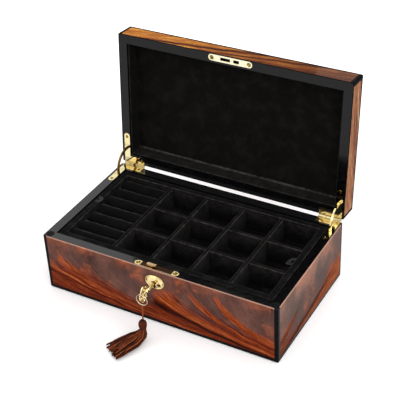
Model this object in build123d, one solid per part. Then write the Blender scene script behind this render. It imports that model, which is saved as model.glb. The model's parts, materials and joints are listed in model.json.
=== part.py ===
"""Cufflink display box: a veneered box on a felt foot, with a hinged lid, a lift-out tray and a box lock.

Millimetres. The origin is the centre of the underside, +X runs along the front to the right, +Y to the back
and +Z up. The lid is drawn shut and swung open on its hinge, because the box is stored open. Names that end
in _X, _Y or _Z are places, the others are sizes.
"""

from build123d import *
from math import asin, cos, degrees, radians, sin
import os

os.makedirs("parts", exist_ok=True)

# Carcass
LENGTH = 290.0
DEPTH = 165.0
BASE_HEIGHT = 73.0
LID_HEIGHT = 25.0
LID_GAP = 0.4  # between the rims when the lid is shut
CORE = 10.0  # wall behind the veneer
VENEER = 1.0
FELT = 1.0
FELT_INSET = 3.0
BOTTOM = 4.0
CORNER_STRIP = 4.5  # black edging along each upright corner
TOP_STRIP_HEIGHT = 3.0  # black edging round the lid's top
TOP_STRIP_WIDTH = 2.5
TOP_PANEL = 2.0
CORNER_ROUND = 1.5
ARRIS_ROUND = 0.6
BUMPER_R = 4.7
BUMPER_DEPTH = 3.0
BUMPER_PROUD = 0.25
BUMPER_SETBACK = 6.2  # from the front face to the plug's centre

# Lining and tray
FLOOR_PAD = 3.0
LEDGE_BOARD = 3.0  # lining board that the tray sits on
TRAY_SIDE_GAP = 1.0
TRAY_SEAT_GAP = 0.1
TRAY_DROP = 1.0  # tray walls below the base rim
TRAY_HEIGHT = 31.0
TRAY_FLOOR = 3.0
TRAY_WALL = 8.0
TRAY_EDGE_ROUND = 1.2
DIVIDER = 5.0
DIVIDER_DROP = 1.5  # dividers below the tray walls
SEPARATOR = 6.0
ROLL_SECTION = 57.5  # length of the cufflink rolls
ROLLS = 7
ROLL_SLOT = 1.0
ROLL_DROP = 3.0
ROLL_END_GAP = 0.3
COLUMNS = 4
ROWS = 3
RIBBON = 0.8
RIBBON_WIDTH = 12.0
RIBBON_REACH = 9.0  # of the loop that hangs over the cells
RIBBON_FALL = 5.0
RIBBON_SETBACK = 1.0  # loop under the divider tops
RIBBON_LAP = 5.0  # of the other ribbon on the left wall
RIBBON_PEEP = 1.5  # past that wall, over the rolls
SOFT_GAP = 0.1
RIBBON_SHIFT = 5.0  # left ribbon behind the middle
LID_PAD = 2.5
LID_BOARD = 1.5
LID_BOARD_DROP = 2.0

# Hinges with quadrant stays
OPEN_ANGLE = 95.0
AXIS_OUT = 2.4  # hinge axis behind the back face
KNUCKLE_R = 2.2
PIN_R = 1.0
PIN_CLEARANCE = 0.05
KNUCKLE_GAP = 0.2
LEAF = 1.8
LEAF_INSET = 3.0  # leaf from the side face
LEAF_MARGIN = 0.5  # leaf from the inside edge of the rim
LEAF_SIDE_LENGTH = 38.5
LEAF_BACK_LENGTH = 27.0
LEAF_BACK_WIDTH = 8.0
LEAF_SCREW_SETBACK = 1.0  # screw behind the centre of the leaf's round end
SCREW_MARGIN = 1.5
ARM_LAP = 1.0  # of a knuckle's arm on its leaf
STAY_R = 21.5
STAY_DEPTH = 3.0  # along the radius
STAY_WIDTH = 1.8
STAY_HEAD = 4.0  # along the radius
STAY_HEAD_ANGLE = 5.0
STAY_CLEARANCE = 0.4
SLOT_ANGLE = 20.0  # how far a leaf's slot follows the stay
MORTISE_MARGIN = 1.0  # degrees past the stay's end

# Screws
SCREW_R = 1.1
SCREW_HEAD_R = 2.0
SCREW_HEAD = 1.2
SCREW_LENGTH = 8.0

# Lock, strike and escutcheon
PLATE_REACH = 6.0  # plate past each end of the case
PLATE_WIDTH = 7.5
PLATE_SETBACK = 0.5  # from the front of the core
FACEPLATE = 2.0
STRIKE = 1.2
PLATE_SCREW_REACH = 2.0  # screw past each end of the case
CASE_LENGTH = 42.0
CASE_THICKNESS = 6.0
CASE_WALL = 0.8
CASE_MARGIN = 3.2  # case below the bit
KEY_DROP = 15.0  # key axis below the base rim
BOLT_THICKNESS = 3.0
BOLT_TRAVEL = 2.8
BOLT_CLEARANCE = 0.3
KEY_END_GAP = 0.3
HOOK_X = -11.5
HOOK_NECK = 7.0
HOOK_NOSE = 4.0
HOOK_NOSE_HEIGHT = 1.4
HOOK_RISE = 0.2  # nose above the strike plate
TAIL_WIDTH = 3.0
TAIL_CLEARANCE = 0.7  # between the turned bit and the tail
TAIL_LENGTH = 2.0  # below the key axis
BOLT_LIFT = 0.8  # bolt above the bit's circle
BOLT_DROP = 0.5  # bolt below the faceplate
SHOULDER = 2.0  # bolt left of the hook
SPARE_SLOT_X = 4.0
SPARE_SLOT_LENGTH = 7.0
STRIKE_POCKET = 3.2
POCKET_MARGIN = 1.0
STRIKE_MARGIN = 0.5  # slot past the hook
ESCUTCHEON_LENGTH = 24.0
ESCUTCHEON_HEIGHT = 18.0
ESCUTCHEON_RIM = 1.0
ESCUTCHEON_DOME = 1.4
ESCUTCHEON_BORDER = 2.2
ESCUTCHEON_PIN_R = 0.6
ESCUTCHEON_PIN_LENGTH = 3.0
ESCUTCHEON_PIN_SPACING = 20.4
ESCUTCHEON_PIN_PROUD = 1.6  # of the front face

# Key
STEM_R = 2.0
STEM_CLEARANCE = 0.06
STEM_LAP = 2.0  # of the stem in the bow
BIT_REACH = 6.4
BIT_THICKNESS = 1.6
KEYHOLE_CLEARANCE = 0.3
COLLAR_R = 3.2
COLLAR = 3.0
COLLAR_OUT = 12.0  # collar from the front face
BOW_OUT = 23.5  # bow's centre from the front face
BOW_LENGTH = 16.0
BOW_HEIGHT = 20.5
BOW_THICKNESS = 2.4
BOW_ROUND = 0.6
BOW_HOLE_R = 1.5
BOW_HOLE_FORWARD = 4.0  # ring hole in front of the bow's centre
BOW_HOLE_UP = 2.5
PIERCING_R = 2.2
PIERCING_BACK = 1.6
PIERCING_OUT = 5.6

# Tassel on its ring
RING_R = 6.65
RING_WIRE_R = 0.55
RING_DROP = 4.5  # ring's centre below the key axis
CORD_R = 0.8
CORD_POINTS = [(0.0, -110.0, 46.2), (0.5, -110.9, 37.7), (0.0, -111.6, 26.5), (-0.5, -113.0, 15.2)]
TASSEL_X, TASSEL_Y = -0.3, -112.3
TASSEL_HEAD_TOP = 28.4
TASSEL_HEAD_FOOT = 14.6
TASSEL_HEAD_R = 4.4
TASSEL_NECK_R = 3.4
TASSEL_SHOULDER = 1.5
TASSEL_CHEEK = 3.0  # height of the head's lower taper
# Skirt sections: centre, half width, half thickness and how steeply the strands fall there, in degrees
SKIRT = [
    ((-0.5, -112.9, 14.4), 4.1, 4.1, 90),
    ((-2.0, -115.8, 9.2), 7.6, 6.0, 62),
    ((-7.0, -123.9, 6.2), 10.6, 5.9, 16),
    ((-13.6, -134.0, 4.9), 12.4, 4.6, 6),
    ((-20.4, -144.6, 3.5), 13.4, 3.2, 6),
]
SKIRT_HEADING = -123.0  # direction of the strands on the table, from +X


# Places that follow from the sizes
OUT_X, OUT_Y = LENGTH / 2, DEPTH / 2
CORE_X, CORE_Y = OUT_X - VENEER, OUT_Y - VENEER
IN_X, IN_Y = CORE_X - CORE, CORE_Y - CORE
FOOT_Z = FELT + BOTTOM
RIM_Z = BASE_HEIGHT
LID_Z = RIM_Z + LID_GAP
LID_TOP_Z = LID_Z + LID_HEIGHT
LID_WALL_Z = LID_TOP_Z - TOP_STRIP_HEIGHT
AXIS_Y, AXIS_Z = OUT_Y + AXIS_OUT, RIM_Z + LID_GAP / 2
HINGE = Axis((0, AXIS_Y, AXIS_Z), (-1, 0, 0))
LEAF_X = OUT_X - LEAF_INSET
LEAF_WIDTH = LEAF_X - IN_X - LEAF_MARGIN
STAY_X = LEAF_X - LEAF_WIDTH / 2
BACK_LEG_X = LEAF_X - LEAF_BACK_LENGTH
KNUCKLE = LEAF_BACK_LENGTH / 3
TRAY_X, TRAY_Y = IN_X - TRAY_SIDE_GAP, IN_Y - TRAY_SIDE_GAP
TRAY_TOP_Z = RIM_Z - TRAY_DROP
TRAY_FOOT_Z = TRAY_TOP_Z - TRAY_HEIGHT
CELL_FLOOR_Z = TRAY_FOOT_Z + TRAY_FLOOR
DIVIDER_TOP_Z = TRAY_TOP_Z - DIVIDER_DROP
CELLS_X, CELLS_Y = TRAY_X - TRAY_WALL, TRAY_Y - TRAY_WALL
SEPARATOR_X = -CELLS_X + ROLL_SECTION
CELL_LEFT_X = SEPARATOR_X + SEPARATOR
CELL_LENGTH = (CELLS_X - CELL_LEFT_X - (COLUMNS - 1) * DIVIDER) / COLUMNS
CELL_WIDTH = (2 * CELLS_Y - (ROWS - 1) * DIVIDER) / ROWS
PLATE_LENGTH = CASE_LENGTH + 2 * PLATE_REACH
PLATE_SCREW_X = CASE_LENGTH / 2 + PLATE_SCREW_REACH
PLATE_Y = -(CORE_Y - PLATE_SETBACK - PLATE_WIDTH / 2)
KEY_Z = RIM_Z - KEY_DROP
CASE_TOP_Z = RIM_Z - FACEPLATE
CASE_FOOT_Z = KEY_Z - BIT_REACH - CASE_MARGIN
CASE_Y = PLATE_Y - CASE_THICKNESS / 2
BOW_Y = -OUT_Y - BOW_OUT
RING_Y = BOW_Y - BOW_HOLE_FORWARD
RING_Z = KEY_Z - RING_DROP


def block(low, high):
    """A box between two corners."""
    size = [b - a for a, b in zip(low, high)]
    middle = [(a + b) / 2 for a, b in zip(low, high)]
    return Pos(*middle) * Box(*size)


def rod(x, y, z, radius, length, direction="Z"):
    """A round bar centred on a point, along X, Y or Z."""
    turn = {"X": Rot(0, 90, 0), "Y": Rot(90, 0, 0), "Z": Rot(0, 0, 0)}[direction]
    return Pos(x, y, z) * turn * Cylinder(radius, length)


def swung(piece, angle=OPEN_ANGLE):
    """A piece of the shut lid, swung open on the hinge."""
    return piece.rotate(HINGE, angle)


def both(piece):
    """A piece and its mirror image on the other side of the box."""
    return [piece, piece.mirror(Plane.YZ)]


def save(node, *pieces):
    """Writes one node, whose pieces stay separate solids."""
    solids = [solid for piece in pieces for solid in piece.solids()]
    export_step(solids[0] if len(solids) == 1 else Compound(children=solids), f"parts/{node}.step")


def arc_bar(x, width, radius, depth, start, end):
    """A bar bent about the hinge axis between two angles, 0 at the rims and positive upwards."""
    corner = Pos(x, AXIS_Y - radius, AXIS_Z) * Rectangle(width, depth)
    return revolve(corner.face().rotate(HINGE, start), axis=HINGE, revolution_arc=end - start)


def screw(x, y, z, up=1):
    """A countersunk wood screw whose head is flush at z. It points down, or up with up=-1."""
    head = Cone(SCREW_R, SCREW_HEAD_R, SCREW_HEAD)
    shank = Pos(0, 0, -SCREW_LENGTH / 2) * Cylinder(SCREW_R, SCREW_LENGTH)
    body = Pos(0, 0, -SCREW_HEAD / 2) * head + shank
    return Pos(x, y, z) * Rot(0 if up > 0 else 180, 0, 0) * body


# Hinge parts, used as tools on the walls too
stay_reach = OPEN_ANGLE / 2
head_start = degrees(asin((LEAF + LID_GAP / 2 + BOLT_CLEARANCE) / (STAY_R - STAY_HEAD / 2)))
head_end = head_start + STAY_HEAD_ANGLE
mortise_end = stay_reach + head_end + MORTISE_MARGIN


def leaf(knuckles, side):
    """The left leaf let into one rim, with its knuckles. side is -1 under the rims' gap and 1 over it."""
    low, high = sorted((AXIS_Z + side * LID_GAP / 2, AXIS_Z + side * (LID_GAP / 2 + LEAF)))
    half = LEAF_WIDTH / 2
    leg = block((-STAY_X - half, OUT_Y - LEAF_SIDE_LENGTH + half, low), (-STAY_X + half, OUT_Y, high))
    end = rod(-STAY_X, OUT_Y - LEAF_SIDE_LENGTH + half, (low + high) / 2, half, LEAF)
    back = block((-LEAF_X, OUT_Y - LEAF_BACK_WIDTH, low), (-BACK_LEG_X, OUT_Y, high))
    flat = leg + end + back
    plate = flat
    for n in knuckles:
        x = -LEAF_X + (n + 0.5) * KNUCKLE
        length = KNUCKLE - KNUCKLE_GAP
        arm = block((x - length / 2, OUT_Y - ARM_LAP, low), (x + length / 2, AXIS_Y, high))
        plate += arm + rod(x, AXIS_Y, AXIS_Z, KNUCKLE_R, length, "X")
    middle = -(LEAF_X + BACK_LEG_X) / 2
    plate -= rod(middle, AXIS_Y, AXIS_Z, PIN_R + PIN_CLEARANCE, 2 * LEAF_BACK_LENGTH, "X")
    start, stop = sorted((0.0, side * SLOT_ANGLE))
    slot = [STAY_WIDTH + STAY_CLEARANCE, STAY_R, STAY_DEPTH + 2 * STAY_CLEARANCE]
    plate -= arc_bar(-STAY_X, *slot, start, stop)
    return plate, flat


def leaf_screws(z, up):
    """The two screws of a left leaf."""
    half = LEAF_WIDTH / 2
    return [
        screw(-STAY_X, OUT_Y - LEAF_SIDE_LENGTH + half + LEAF_SCREW_SETBACK, z, up),
        screw(-BACK_LEG_X - SCREW_HEAD_R - SCREW_MARGIN, OUT_Y - LEAF_BACK_WIDTH / 2, z, up),
    ]


base_leaf, base_leaf_flat = leaf((0, 2), -1)
lid_leaf, lid_leaf_flat = leaf((1,), 1)
base_leaf_screws = leaf_screws(RIM_Z, 1)
lid_leaf_screws = leaf_screws(LID_Z, -1)
mortise = [STAY_WIDTH + 2 * STAY_CLEARANCE, STAY_R, STAY_HEAD + 2 * STAY_CLEARANCE]
base_mortise = arc_bar(-STAY_X, *mortise, -mortise_end, -MORTISE_MARGIN)
lid_mortise = arc_bar(-STAY_X, *mortise, MORTISE_MARGIN, mortise_end)


def let_in(wall, tools):
    """A wall with each tool cut out of it."""
    for tool in tools:
        wall -= tool
    return wall


# Lock parts, used as tools on the front wall too
def round_plate(z, thickness):
    """The long plate with round ends that faces the lock and the strike."""
    return Pos(0, PLATE_Y, z) * extrude(SlotOverall(PLATE_LENGTH, PLATE_WIDTH), thickness)


def plate_screws(z, up):
    """The two screws of a long plate."""
    return [screw(side * PLATE_SCREW_X, PLATE_Y, z, up) for side in (-1, 1)]


def slot_cut(left, right, low, high, width):
    """A slot along X on the plate's centre line."""
    return block((left, PLATE_Y - width / 2, low), (right, PLATE_Y + width / 2, high))


def keyhole(front, back, clearance=KEYHOLE_CLEARANCE):
    """The keyhole between two depths: a round hole over a slot for the bit."""
    middle = (front + back) / 2
    hole = rod(0, middle, KEY_Z, STEM_R + STEM_CLEARANCE, back - front, "Y")
    half = BIT_THICKNESS / 2 + clearance
    return hole + block((-half, front, KEY_Z - BIT_REACH - clearance), (half, back, KEY_Z))


nose_z = LID_Z + STRIKE + HOOK_RISE
hook_top_z = nose_z + HOOK_NOSE_HEIGHT
hook_end = HOOK_X + HOOK_NECK + HOOK_NOSE
tail_x = BIT_REACH - BOLT_TRAVEL + TAIL_CLEARANCE
faceplate_slot = slot_cut(
    HOOK_X - BOLT_CLEARANCE,
    HOOK_X + HOOK_NECK + BOLT_TRAVEL + BOLT_CLEARANCE,
    CASE_TOP_Z - 1,
    RIM_Z + 1,
    BOLT_THICKNESS + 2 * BOLT_CLEARANCE,
)
case_block = block(
    (-CASE_LENGTH / 2, CASE_Y, CASE_FOOT_Z), (CASE_LENGTH / 2, CASE_Y + CASE_THICKNESS, CASE_TOP_Z)
)
faceplate_blank = round_plate(CASE_TOP_Z, FACEPLATE)
lock_screws = plate_screws(RIM_Z, 1)
strike_blank = round_plate(LID_Z, STRIKE)
strike_screws = plate_screws(LID_Z, -1)
strike_pocket = slot_cut(
    HOOK_X - POCKET_MARGIN,
    SPARE_SLOT_X + SPARE_SLOT_LENGTH + POCKET_MARGIN,
    LID_Z + STRIKE,
    LID_Z + STRIKE + STRIKE_POCKET,
    BOLT_THICKNESS + 4 * BOLT_CLEARANCE,
)
escutcheon_pin_y = -OUT_Y + ESCUTCHEON_PIN_LENGTH / 2 - ESCUTCHEON_PIN_PROUD
escutcheon_pins = [
    rod(x, escutcheon_pin_y, KEY_Z, ESCUTCHEON_PIN_R, ESCUTCHEON_PIN_LENGTH, "Y")
    for x in (-ESCUTCHEON_PIN_SPACING / 2, ESCUTCHEON_PIN_SPACING / 2)
]

# Base carcass
bumper = rod(
    -(IN_X + CORE / 2),
    -OUT_Y + BUMPER_SETBACK,
    RIM_Z + (BUMPER_PROUD - BUMPER_DEPTH) / 2,
    BUMPER_R,
    BUMPER_DEPTH + BUMPER_PROUD,
)
base_left = block((-CORE_X, -CORE_Y, FOOT_Z), (-IN_X, CORE_Y, RIM_Z))
base_left = let_in(base_left, [bumper, base_leaf_flat, base_mortise, *base_leaf_screws])
base_front = block((-IN_X, -CORE_Y, FOOT_Z), (IN_X, -IN_Y, RIM_Z))
base_front = let_in(base_front, [case_block, faceplate_blank, *lock_screws, *escutcheon_pins])
base_front -= keyhole(-OUT_Y, CASE_Y)
base_back = block((-IN_X, IN_Y, FOOT_Z), (IN_X, CORE_Y, RIM_Z))
base_back = let_in(base_back, both(base_leaf_flat) + both(base_leaf_screws[1]))
save("base_left_wall", base_left)
save("base_right_wall", base_left.mirror(Plane.YZ))
save("base_front_wall", base_front)
save("base_back_wall", base_back)


def side_veneer(low, high):
    """The veneer on the left face, between the corner strips."""
    return block((-OUT_X, -OUT_Y + CORNER_STRIP, low), (-CORE_X, OUT_Y - CORNER_STRIP, high))


def front_veneer(low, high):
    """The veneer on the front face, between the corner strips."""
    return block((-OUT_X + CORNER_STRIP, -OUT_Y, low), (OUT_X - CORNER_STRIP, -CORE_Y, high))


def corner_strips(low, high):
    """The angle-shaped edging along the four upright corners."""
    outside = Pos(0, 0, low) * extrude(RectangleRounded(LENGTH, DEPTH, CORNER_ROUND), high - low)
    shell = outside - block((-CORE_X, -CORE_Y, low), (CORE_X, CORE_Y, high))
    x, y = OUT_X - CORNER_STRIP, OUT_Y - CORNER_STRIP
    shell -= block((-x, -OUT_Y, low), (x, OUT_Y, high))
    return shell - block((-OUT_X, -y, low), (OUT_X, y, high))


base_veneer_front = front_veneer(FOOT_Z, RIM_Z) - keyhole(-OUT_Y, -CORE_Y)
base_veneer_back = front_veneer(FOOT_Z, RIM_Z).mirror(Plane.XZ)
save("base_front_veneer", let_in(base_veneer_front, escutcheon_pins))
save("base_back_veneer", let_in(base_veneer_back, both(base_leaf_flat)))
save("base_left_veneer", side_veneer(FOOT_Z, RIM_Z))
save("base_right_veneer", side_veneer(FOOT_Z, RIM_Z).mirror(Plane.YZ))
save("base_corner_strips", let_in(corner_strips(FOOT_Z, RIM_Z), both(base_leaf_flat)))
bottom_panel = Pos(0, 0, FELT) * extrude(RectangleRounded(LENGTH, DEPTH, CORNER_ROUND), BOTTOM)
save("bottom_panel", fillet(bottom_panel.edges().group_by(Axis.Z)[0], ARRIS_ROUND))
felt_x, felt_y = OUT_X - FELT_INSET, OUT_Y - FELT_INSET
save("underside_felt", block((-felt_x, -felt_y, 0), (felt_x, felt_y, FELT)))
save("rim_bumpers", *both(bumper))

# Compartment under the tray
ledge_z = TRAY_FOOT_Z - TRAY_SEAT_GAP
pad_x, pad_y = IN_X - LEDGE_BOARD, IN_Y - LEDGE_BOARD
ledge_side = block((-IN_X, -IN_Y, FOOT_Z), (-pad_x, IN_Y, ledge_z))
ledge_front = block((-pad_x, -IN_Y, FOOT_Z), (pad_x, -pad_y, ledge_z))
save("compartment_lining", *both(ledge_side), ledge_front, ledge_front.mirror(Plane.XZ))
save("compartment_floor_pad", block((-pad_x, -pad_y, FOOT_Z), (pad_x, pad_y, FOOT_Z + FLOOR_PAD)))

# Lock
case_inside = block(
    (-CASE_LENGTH / 2 + CASE_WALL, CASE_Y + CASE_WALL, CASE_FOOT_Z + CASE_WALL),
    (CASE_LENGTH / 2 - CASE_WALL, CASE_Y + CASE_THICKNESS - CASE_WALL, CASE_TOP_Z),
)
save("lock_case", case_block - case_inside - keyhole(CASE_Y, CASE_Y + CASE_WALL))
save("lock_faceplate", let_in(faceplate_blank, [faceplate_slot, *lock_screws]))
save("lock_screws", *lock_screws)
bolt_low_z = KEY_Z + BIT_REACH + BOLT_LIFT
bolt_high_z = CASE_TOP_Z - BOLT_DROP


def bolt_part(left, right, low, high):
    """A piece of the bolt, as thick as the rest and on the same centre line."""
    return slot_cut(left, right, low, high, BOLT_THICKNESS)


bolt = bolt_part(HOOK_X - SHOULDER, tail_x + TAIL_WIDTH, bolt_low_z, bolt_high_z)
bolt += bolt_part(HOOK_X, HOOK_X + HOOK_NECK, bolt_low_z, hook_top_z)
bolt += bolt_part(HOOK_X, hook_end, nose_z, hook_top_z)
bolt += bolt_part(tail_x, tail_x + TAIL_WIDTH, KEY_Z - TAIL_LENGTH, bolt_high_z)
save("hook_bolt", bolt)

escutcheon_low = Ellipse(ESCUTCHEON_LENGTH / 2, ESCUTCHEON_HEIGHT / 2)
escutcheon_high = Ellipse(
    ESCUTCHEON_LENGTH / 2 - ESCUTCHEON_BORDER, ESCUTCHEON_HEIGHT / 2 - ESCUTCHEON_BORDER
)
escutcheon = extrude(escutcheon_low, ESCUTCHEON_RIM)
escutcheon = fillet(escutcheon.edges().group_by(Axis.Z)[-1], ESCUTCHEON_RIM / 2)
dome = Pos(0, 0, ESCUTCHEON_RIM) * extrude(escutcheon_high, ESCUTCHEON_DOME)
escutcheon += fillet(dome.edges().group_by(Axis.Z)[-1], ESCUTCHEON_DOME * 0.8)
escutcheon = Pos(0, -OUT_Y, KEY_Z) * Rot(90, 0, 0) * escutcheon
escutcheon_front = -OUT_Y - ESCUTCHEON_RIM - ESCUTCHEON_DOME - 1
escutcheon = let_in(escutcheon, [keyhole(escutcheon_front, -OUT_Y), *escutcheon_pins])
save("escutcheon", escutcheon)
save("escutcheon_pins", *escutcheon_pins)

# Hinges
pin = rod(-(LEAF_X + BACK_LEG_X) / 2, AXIS_Y, AXIS_Z, PIN_R, LEAF_BACK_LENGTH - KNUCKLE_GAP, "X")
base_leaf = let_in(base_leaf, base_leaf_screws)
lid_leaf = let_in(lid_leaf, lid_leaf_screws)
save("base_hinge_leaves", *both(base_leaf))
save("hinge_pins", *both(pin))
save("base_hinge_screws", *[s for one in base_leaf_screws for s in both(one)])
stay = arc_bar(-STAY_X, STAY_WIDTH, STAY_R, STAY_DEPTH, -head_end, OPEN_ANGLE + head_end)
stay += arc_bar(-STAY_X, STAY_WIDTH, STAY_R, STAY_HEAD, -head_end, -head_start)
stay += arc_bar(-STAY_X, STAY_WIDTH, STAY_R, STAY_HEAD, OPEN_ANGLE + head_start, OPEN_ANGLE + head_end)
save("left_stay", stay)
save("right_stay", stay.mirror(Plane.YZ))

# Lid
lid_left = block((-CORE_X, -CORE_Y, LID_Z), (-IN_X, CORE_Y, LID_WALL_Z))
lid_left = let_in(lid_left, [lid_leaf_flat, lid_mortise, *lid_leaf_screws])
lid_front = block((-IN_X, -CORE_Y, LID_Z), (IN_X, -IN_Y, LID_WALL_Z))
lid_front = let_in(lid_front, [strike_blank, strike_pocket, *strike_screws])
lid_back = block((-IN_X, IN_Y, LID_Z), (IN_X, CORE_Y, LID_WALL_Z))
lid_back = let_in(lid_back, both(lid_leaf_flat) + both(lid_leaf_screws[1]))
lid_side_veneer = side_veneer(LID_Z, LID_WALL_Z)
lid_back_veneer = front_veneer(LID_Z, LID_WALL_Z).mirror(Plane.XZ)
save("lid_left_wall", swung(lid_left))
save("lid_right_wall", swung(lid_left.mirror(Plane.YZ)))
save("lid_front_wall", swung(lid_front))
save("lid_back_wall", swung(lid_back))
save("lid_left_veneer", swung(lid_side_veneer))
save("lid_right_veneer", swung(lid_side_veneer.mirror(Plane.YZ)))
save("lid_front_veneer", swung(front_veneer(LID_Z, LID_WALL_Z)))
save("lid_back_veneer", swung(let_in(lid_back_veneer, both(lid_leaf_flat))))
save("lid_corner_strips", swung(let_in(corner_strips(LID_Z, LID_WALL_Z), both(lid_leaf_flat))))
panel_x, panel_y = OUT_X - TOP_STRIP_WIDTH, OUT_Y - TOP_STRIP_WIDTH
panel_z = LID_WALL_Z + TOP_PANEL
top_strip = Pos(0, 0, LID_WALL_Z) * extrude(RectangleRounded(LENGTH, DEPTH, CORNER_ROUND), TOP_STRIP_HEIGHT)
top_strip = fillet(top_strip.edges().group_by(Axis.Z)[-1], ARRIS_ROUND)
top_strip -= block((-panel_x, -panel_y, LID_WALL_Z), (panel_x, panel_y, LID_TOP_Z))
save("lid_top_strip", swung(top_strip))
save("lid_top_panel", swung(block((-panel_x, -panel_y, LID_WALL_Z), (panel_x, panel_y, panel_z))))
save("lid_top_veneer", swung(block((-panel_x, -panel_y, panel_z), (panel_x, panel_y, LID_TOP_Z))))
lid_pad_z = LID_WALL_Z - LID_PAD
save("lid_lining_pad", swung(block((-IN_X, -IN_Y, lid_pad_z), (IN_X, IN_Y, LID_WALL_Z))))
board_x, board_y, board_z = IN_X - LID_BOARD, IN_Y - LID_BOARD, LID_Z + LID_BOARD_DROP
lid_board_side = block((-IN_X, -IN_Y, board_z), (-board_x, IN_Y, lid_pad_z))
lid_board_front = block((-board_x, -IN_Y, board_z), (board_x, -board_y, lid_pad_z))
lid_boards = both(lid_board_side) + [lid_board_front, lid_board_front.mirror(Plane.XZ)]
save("lid_lining_boards", *[swung(board) for board in lid_boards])
strike_slots = [
    slot_cut(left, right, LID_Z - 1, LID_Z + STRIKE + 1, BOLT_THICKNESS + 2 * BOLT_CLEARANCE)
    for left, right in (
        (HOOK_X - STRIKE_MARGIN, hook_end + STRIKE_MARGIN),
        (SPARE_SLOT_X, SPARE_SLOT_X + SPARE_SLOT_LENGTH),
    )
]
save("strike_plate", swung(let_in(strike_blank, strike_slots + strike_screws)))
save("strike_screws", *[swung(s) for s in strike_screws])
save("lid_hinge_leaves", *[swung(one) for one in both(lid_leaf)])
save("lid_hinge_screws", *[swung(s) for one in lid_leaf_screws for s in both(one)])

# Tray
tray_side = block((-TRAY_X, -TRAY_Y, CELL_FLOOR_Z), (-CELLS_X, TRAY_Y, TRAY_TOP_Z))
tray_side = fillet(tray_side.edges().filter_by(Axis.Y).group_by(Axis.Z)[-1], TRAY_EDGE_ROUND)
tray_end = block((-CELLS_X, -TRAY_Y, CELL_FLOOR_Z), (CELLS_X, -CELLS_Y, TRAY_TOP_Z))
tray_end = fillet(tray_end.edges().filter_by(Axis.X).group_by(Axis.Z)[-1], TRAY_EDGE_ROUND)
save("tray_floor", block((-TRAY_X, -TRAY_Y, TRAY_FOOT_Z), (TRAY_X, TRAY_Y, CELL_FLOOR_Z)))
save("tray_left_wall", tray_side)
save("tray_right_wall", tray_side.mirror(Plane.YZ))
save("tray_front_wall", tray_end)
save("tray_back_wall", tray_end.mirror(Plane.XZ))
halving_z = (CELL_FLOOR_Z + DIVIDER_TOP_Z) / 2
cell_pitch_x, cell_pitch_y = CELL_LENGTH + DIVIDER, CELL_WIDTH + DIVIDER
column_xs = [CELL_LEFT_X + n * cell_pitch_x - DIVIDER for n in range(1, COLUMNS)]
row_ys = [-CELLS_Y + n * cell_pitch_y - DIVIDER for n in range(1, ROWS)]
save(
    "tray_separator",
    block((SEPARATOR_X, -CELLS_Y, CELL_FLOOR_Z), (CELL_LEFT_X, CELLS_Y, DIVIDER_TOP_Z)),
)
columns = [block((x, -CELLS_Y, CELL_FLOOR_Z), (x + DIVIDER, CELLS_Y, DIVIDER_TOP_Z)) for x in column_xs]
rows = [block((CELL_LEFT_X, y, CELL_FLOOR_Z), (CELLS_X, y + DIVIDER, DIVIDER_TOP_Z)) for y in row_ys]
upper = block((-CELLS_X, -CELLS_Y, halving_z), (CELLS_X, CELLS_Y, DIVIDER_TOP_Z))
lower = block((-CELLS_X, -CELLS_Y, CELL_FLOOR_Z), (CELLS_X, CELLS_Y, halving_z))
save("tray_column_dividers", *[let_in(one, [row & upper for row in rows]) for one in columns])
save("tray_row_dividers", *[let_in(one, [column & lower for column in columns]) for one in rows])

roll_pitch = 2 * CELLS_Y / ROLLS
roll_width = roll_pitch - ROLL_SLOT
roll_top_z = TRAY_TOP_Z - ROLL_DROP
roll_left, roll_right = -CELLS_X + ROLL_END_GAP, SEPARATOR_X - ROLL_END_GAP


def cufflink_roll(y):
    """One padded roll with a round top, standing on the tray floor."""
    crown_z = roll_top_z - roll_width / 2
    body = block((roll_left, y - roll_width / 2, CELL_FLOOR_Z), (roll_right, y + roll_width / 2, crown_z))
    middle = (roll_left + roll_right) / 2
    return body + rod(middle, y, crown_z, roll_width / 2, roll_right - roll_left, "X")


save("cufflink_rolls", *[cufflink_roll(-CELLS_Y + (n + 0.5) * roll_pitch) for n in range(ROLLS)])


def hanging_ribbon():
    """The pull ribbon that leans into the cells from the right wall."""
    x, z = CELLS_X - SOFT_GAP, DIVIDER_TOP_Z - RIBBON_SETBACK
    tip_x, tip_z = x - RIBBON_REACH, z - RIBBON_FALL
    outline = Polyline((x, z), (tip_x, tip_z), (tip_x, tip_z - RIBBON), (x, z - 1.5 * RIBBON), close=True)
    return Pos(0, RIBBON_WIDTH / 2, 0) * extrude(Plane.XZ * make_face(outline), RIBBON_WIDTH)


lying_ribbon = block(
    (-CELLS_X - RIBBON_LAP, -RIBBON_WIDTH / 2 + RIBBON_SHIFT, TRAY_TOP_Z),
    (-CELLS_X + RIBBON_PEEP, RIBBON_WIDTH / 2 + RIBBON_SHIFT, TRAY_TOP_Z + RIBBON),
)
save("tray_pull_ribbons", hanging_ribbon(), lying_ribbon)

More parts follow.
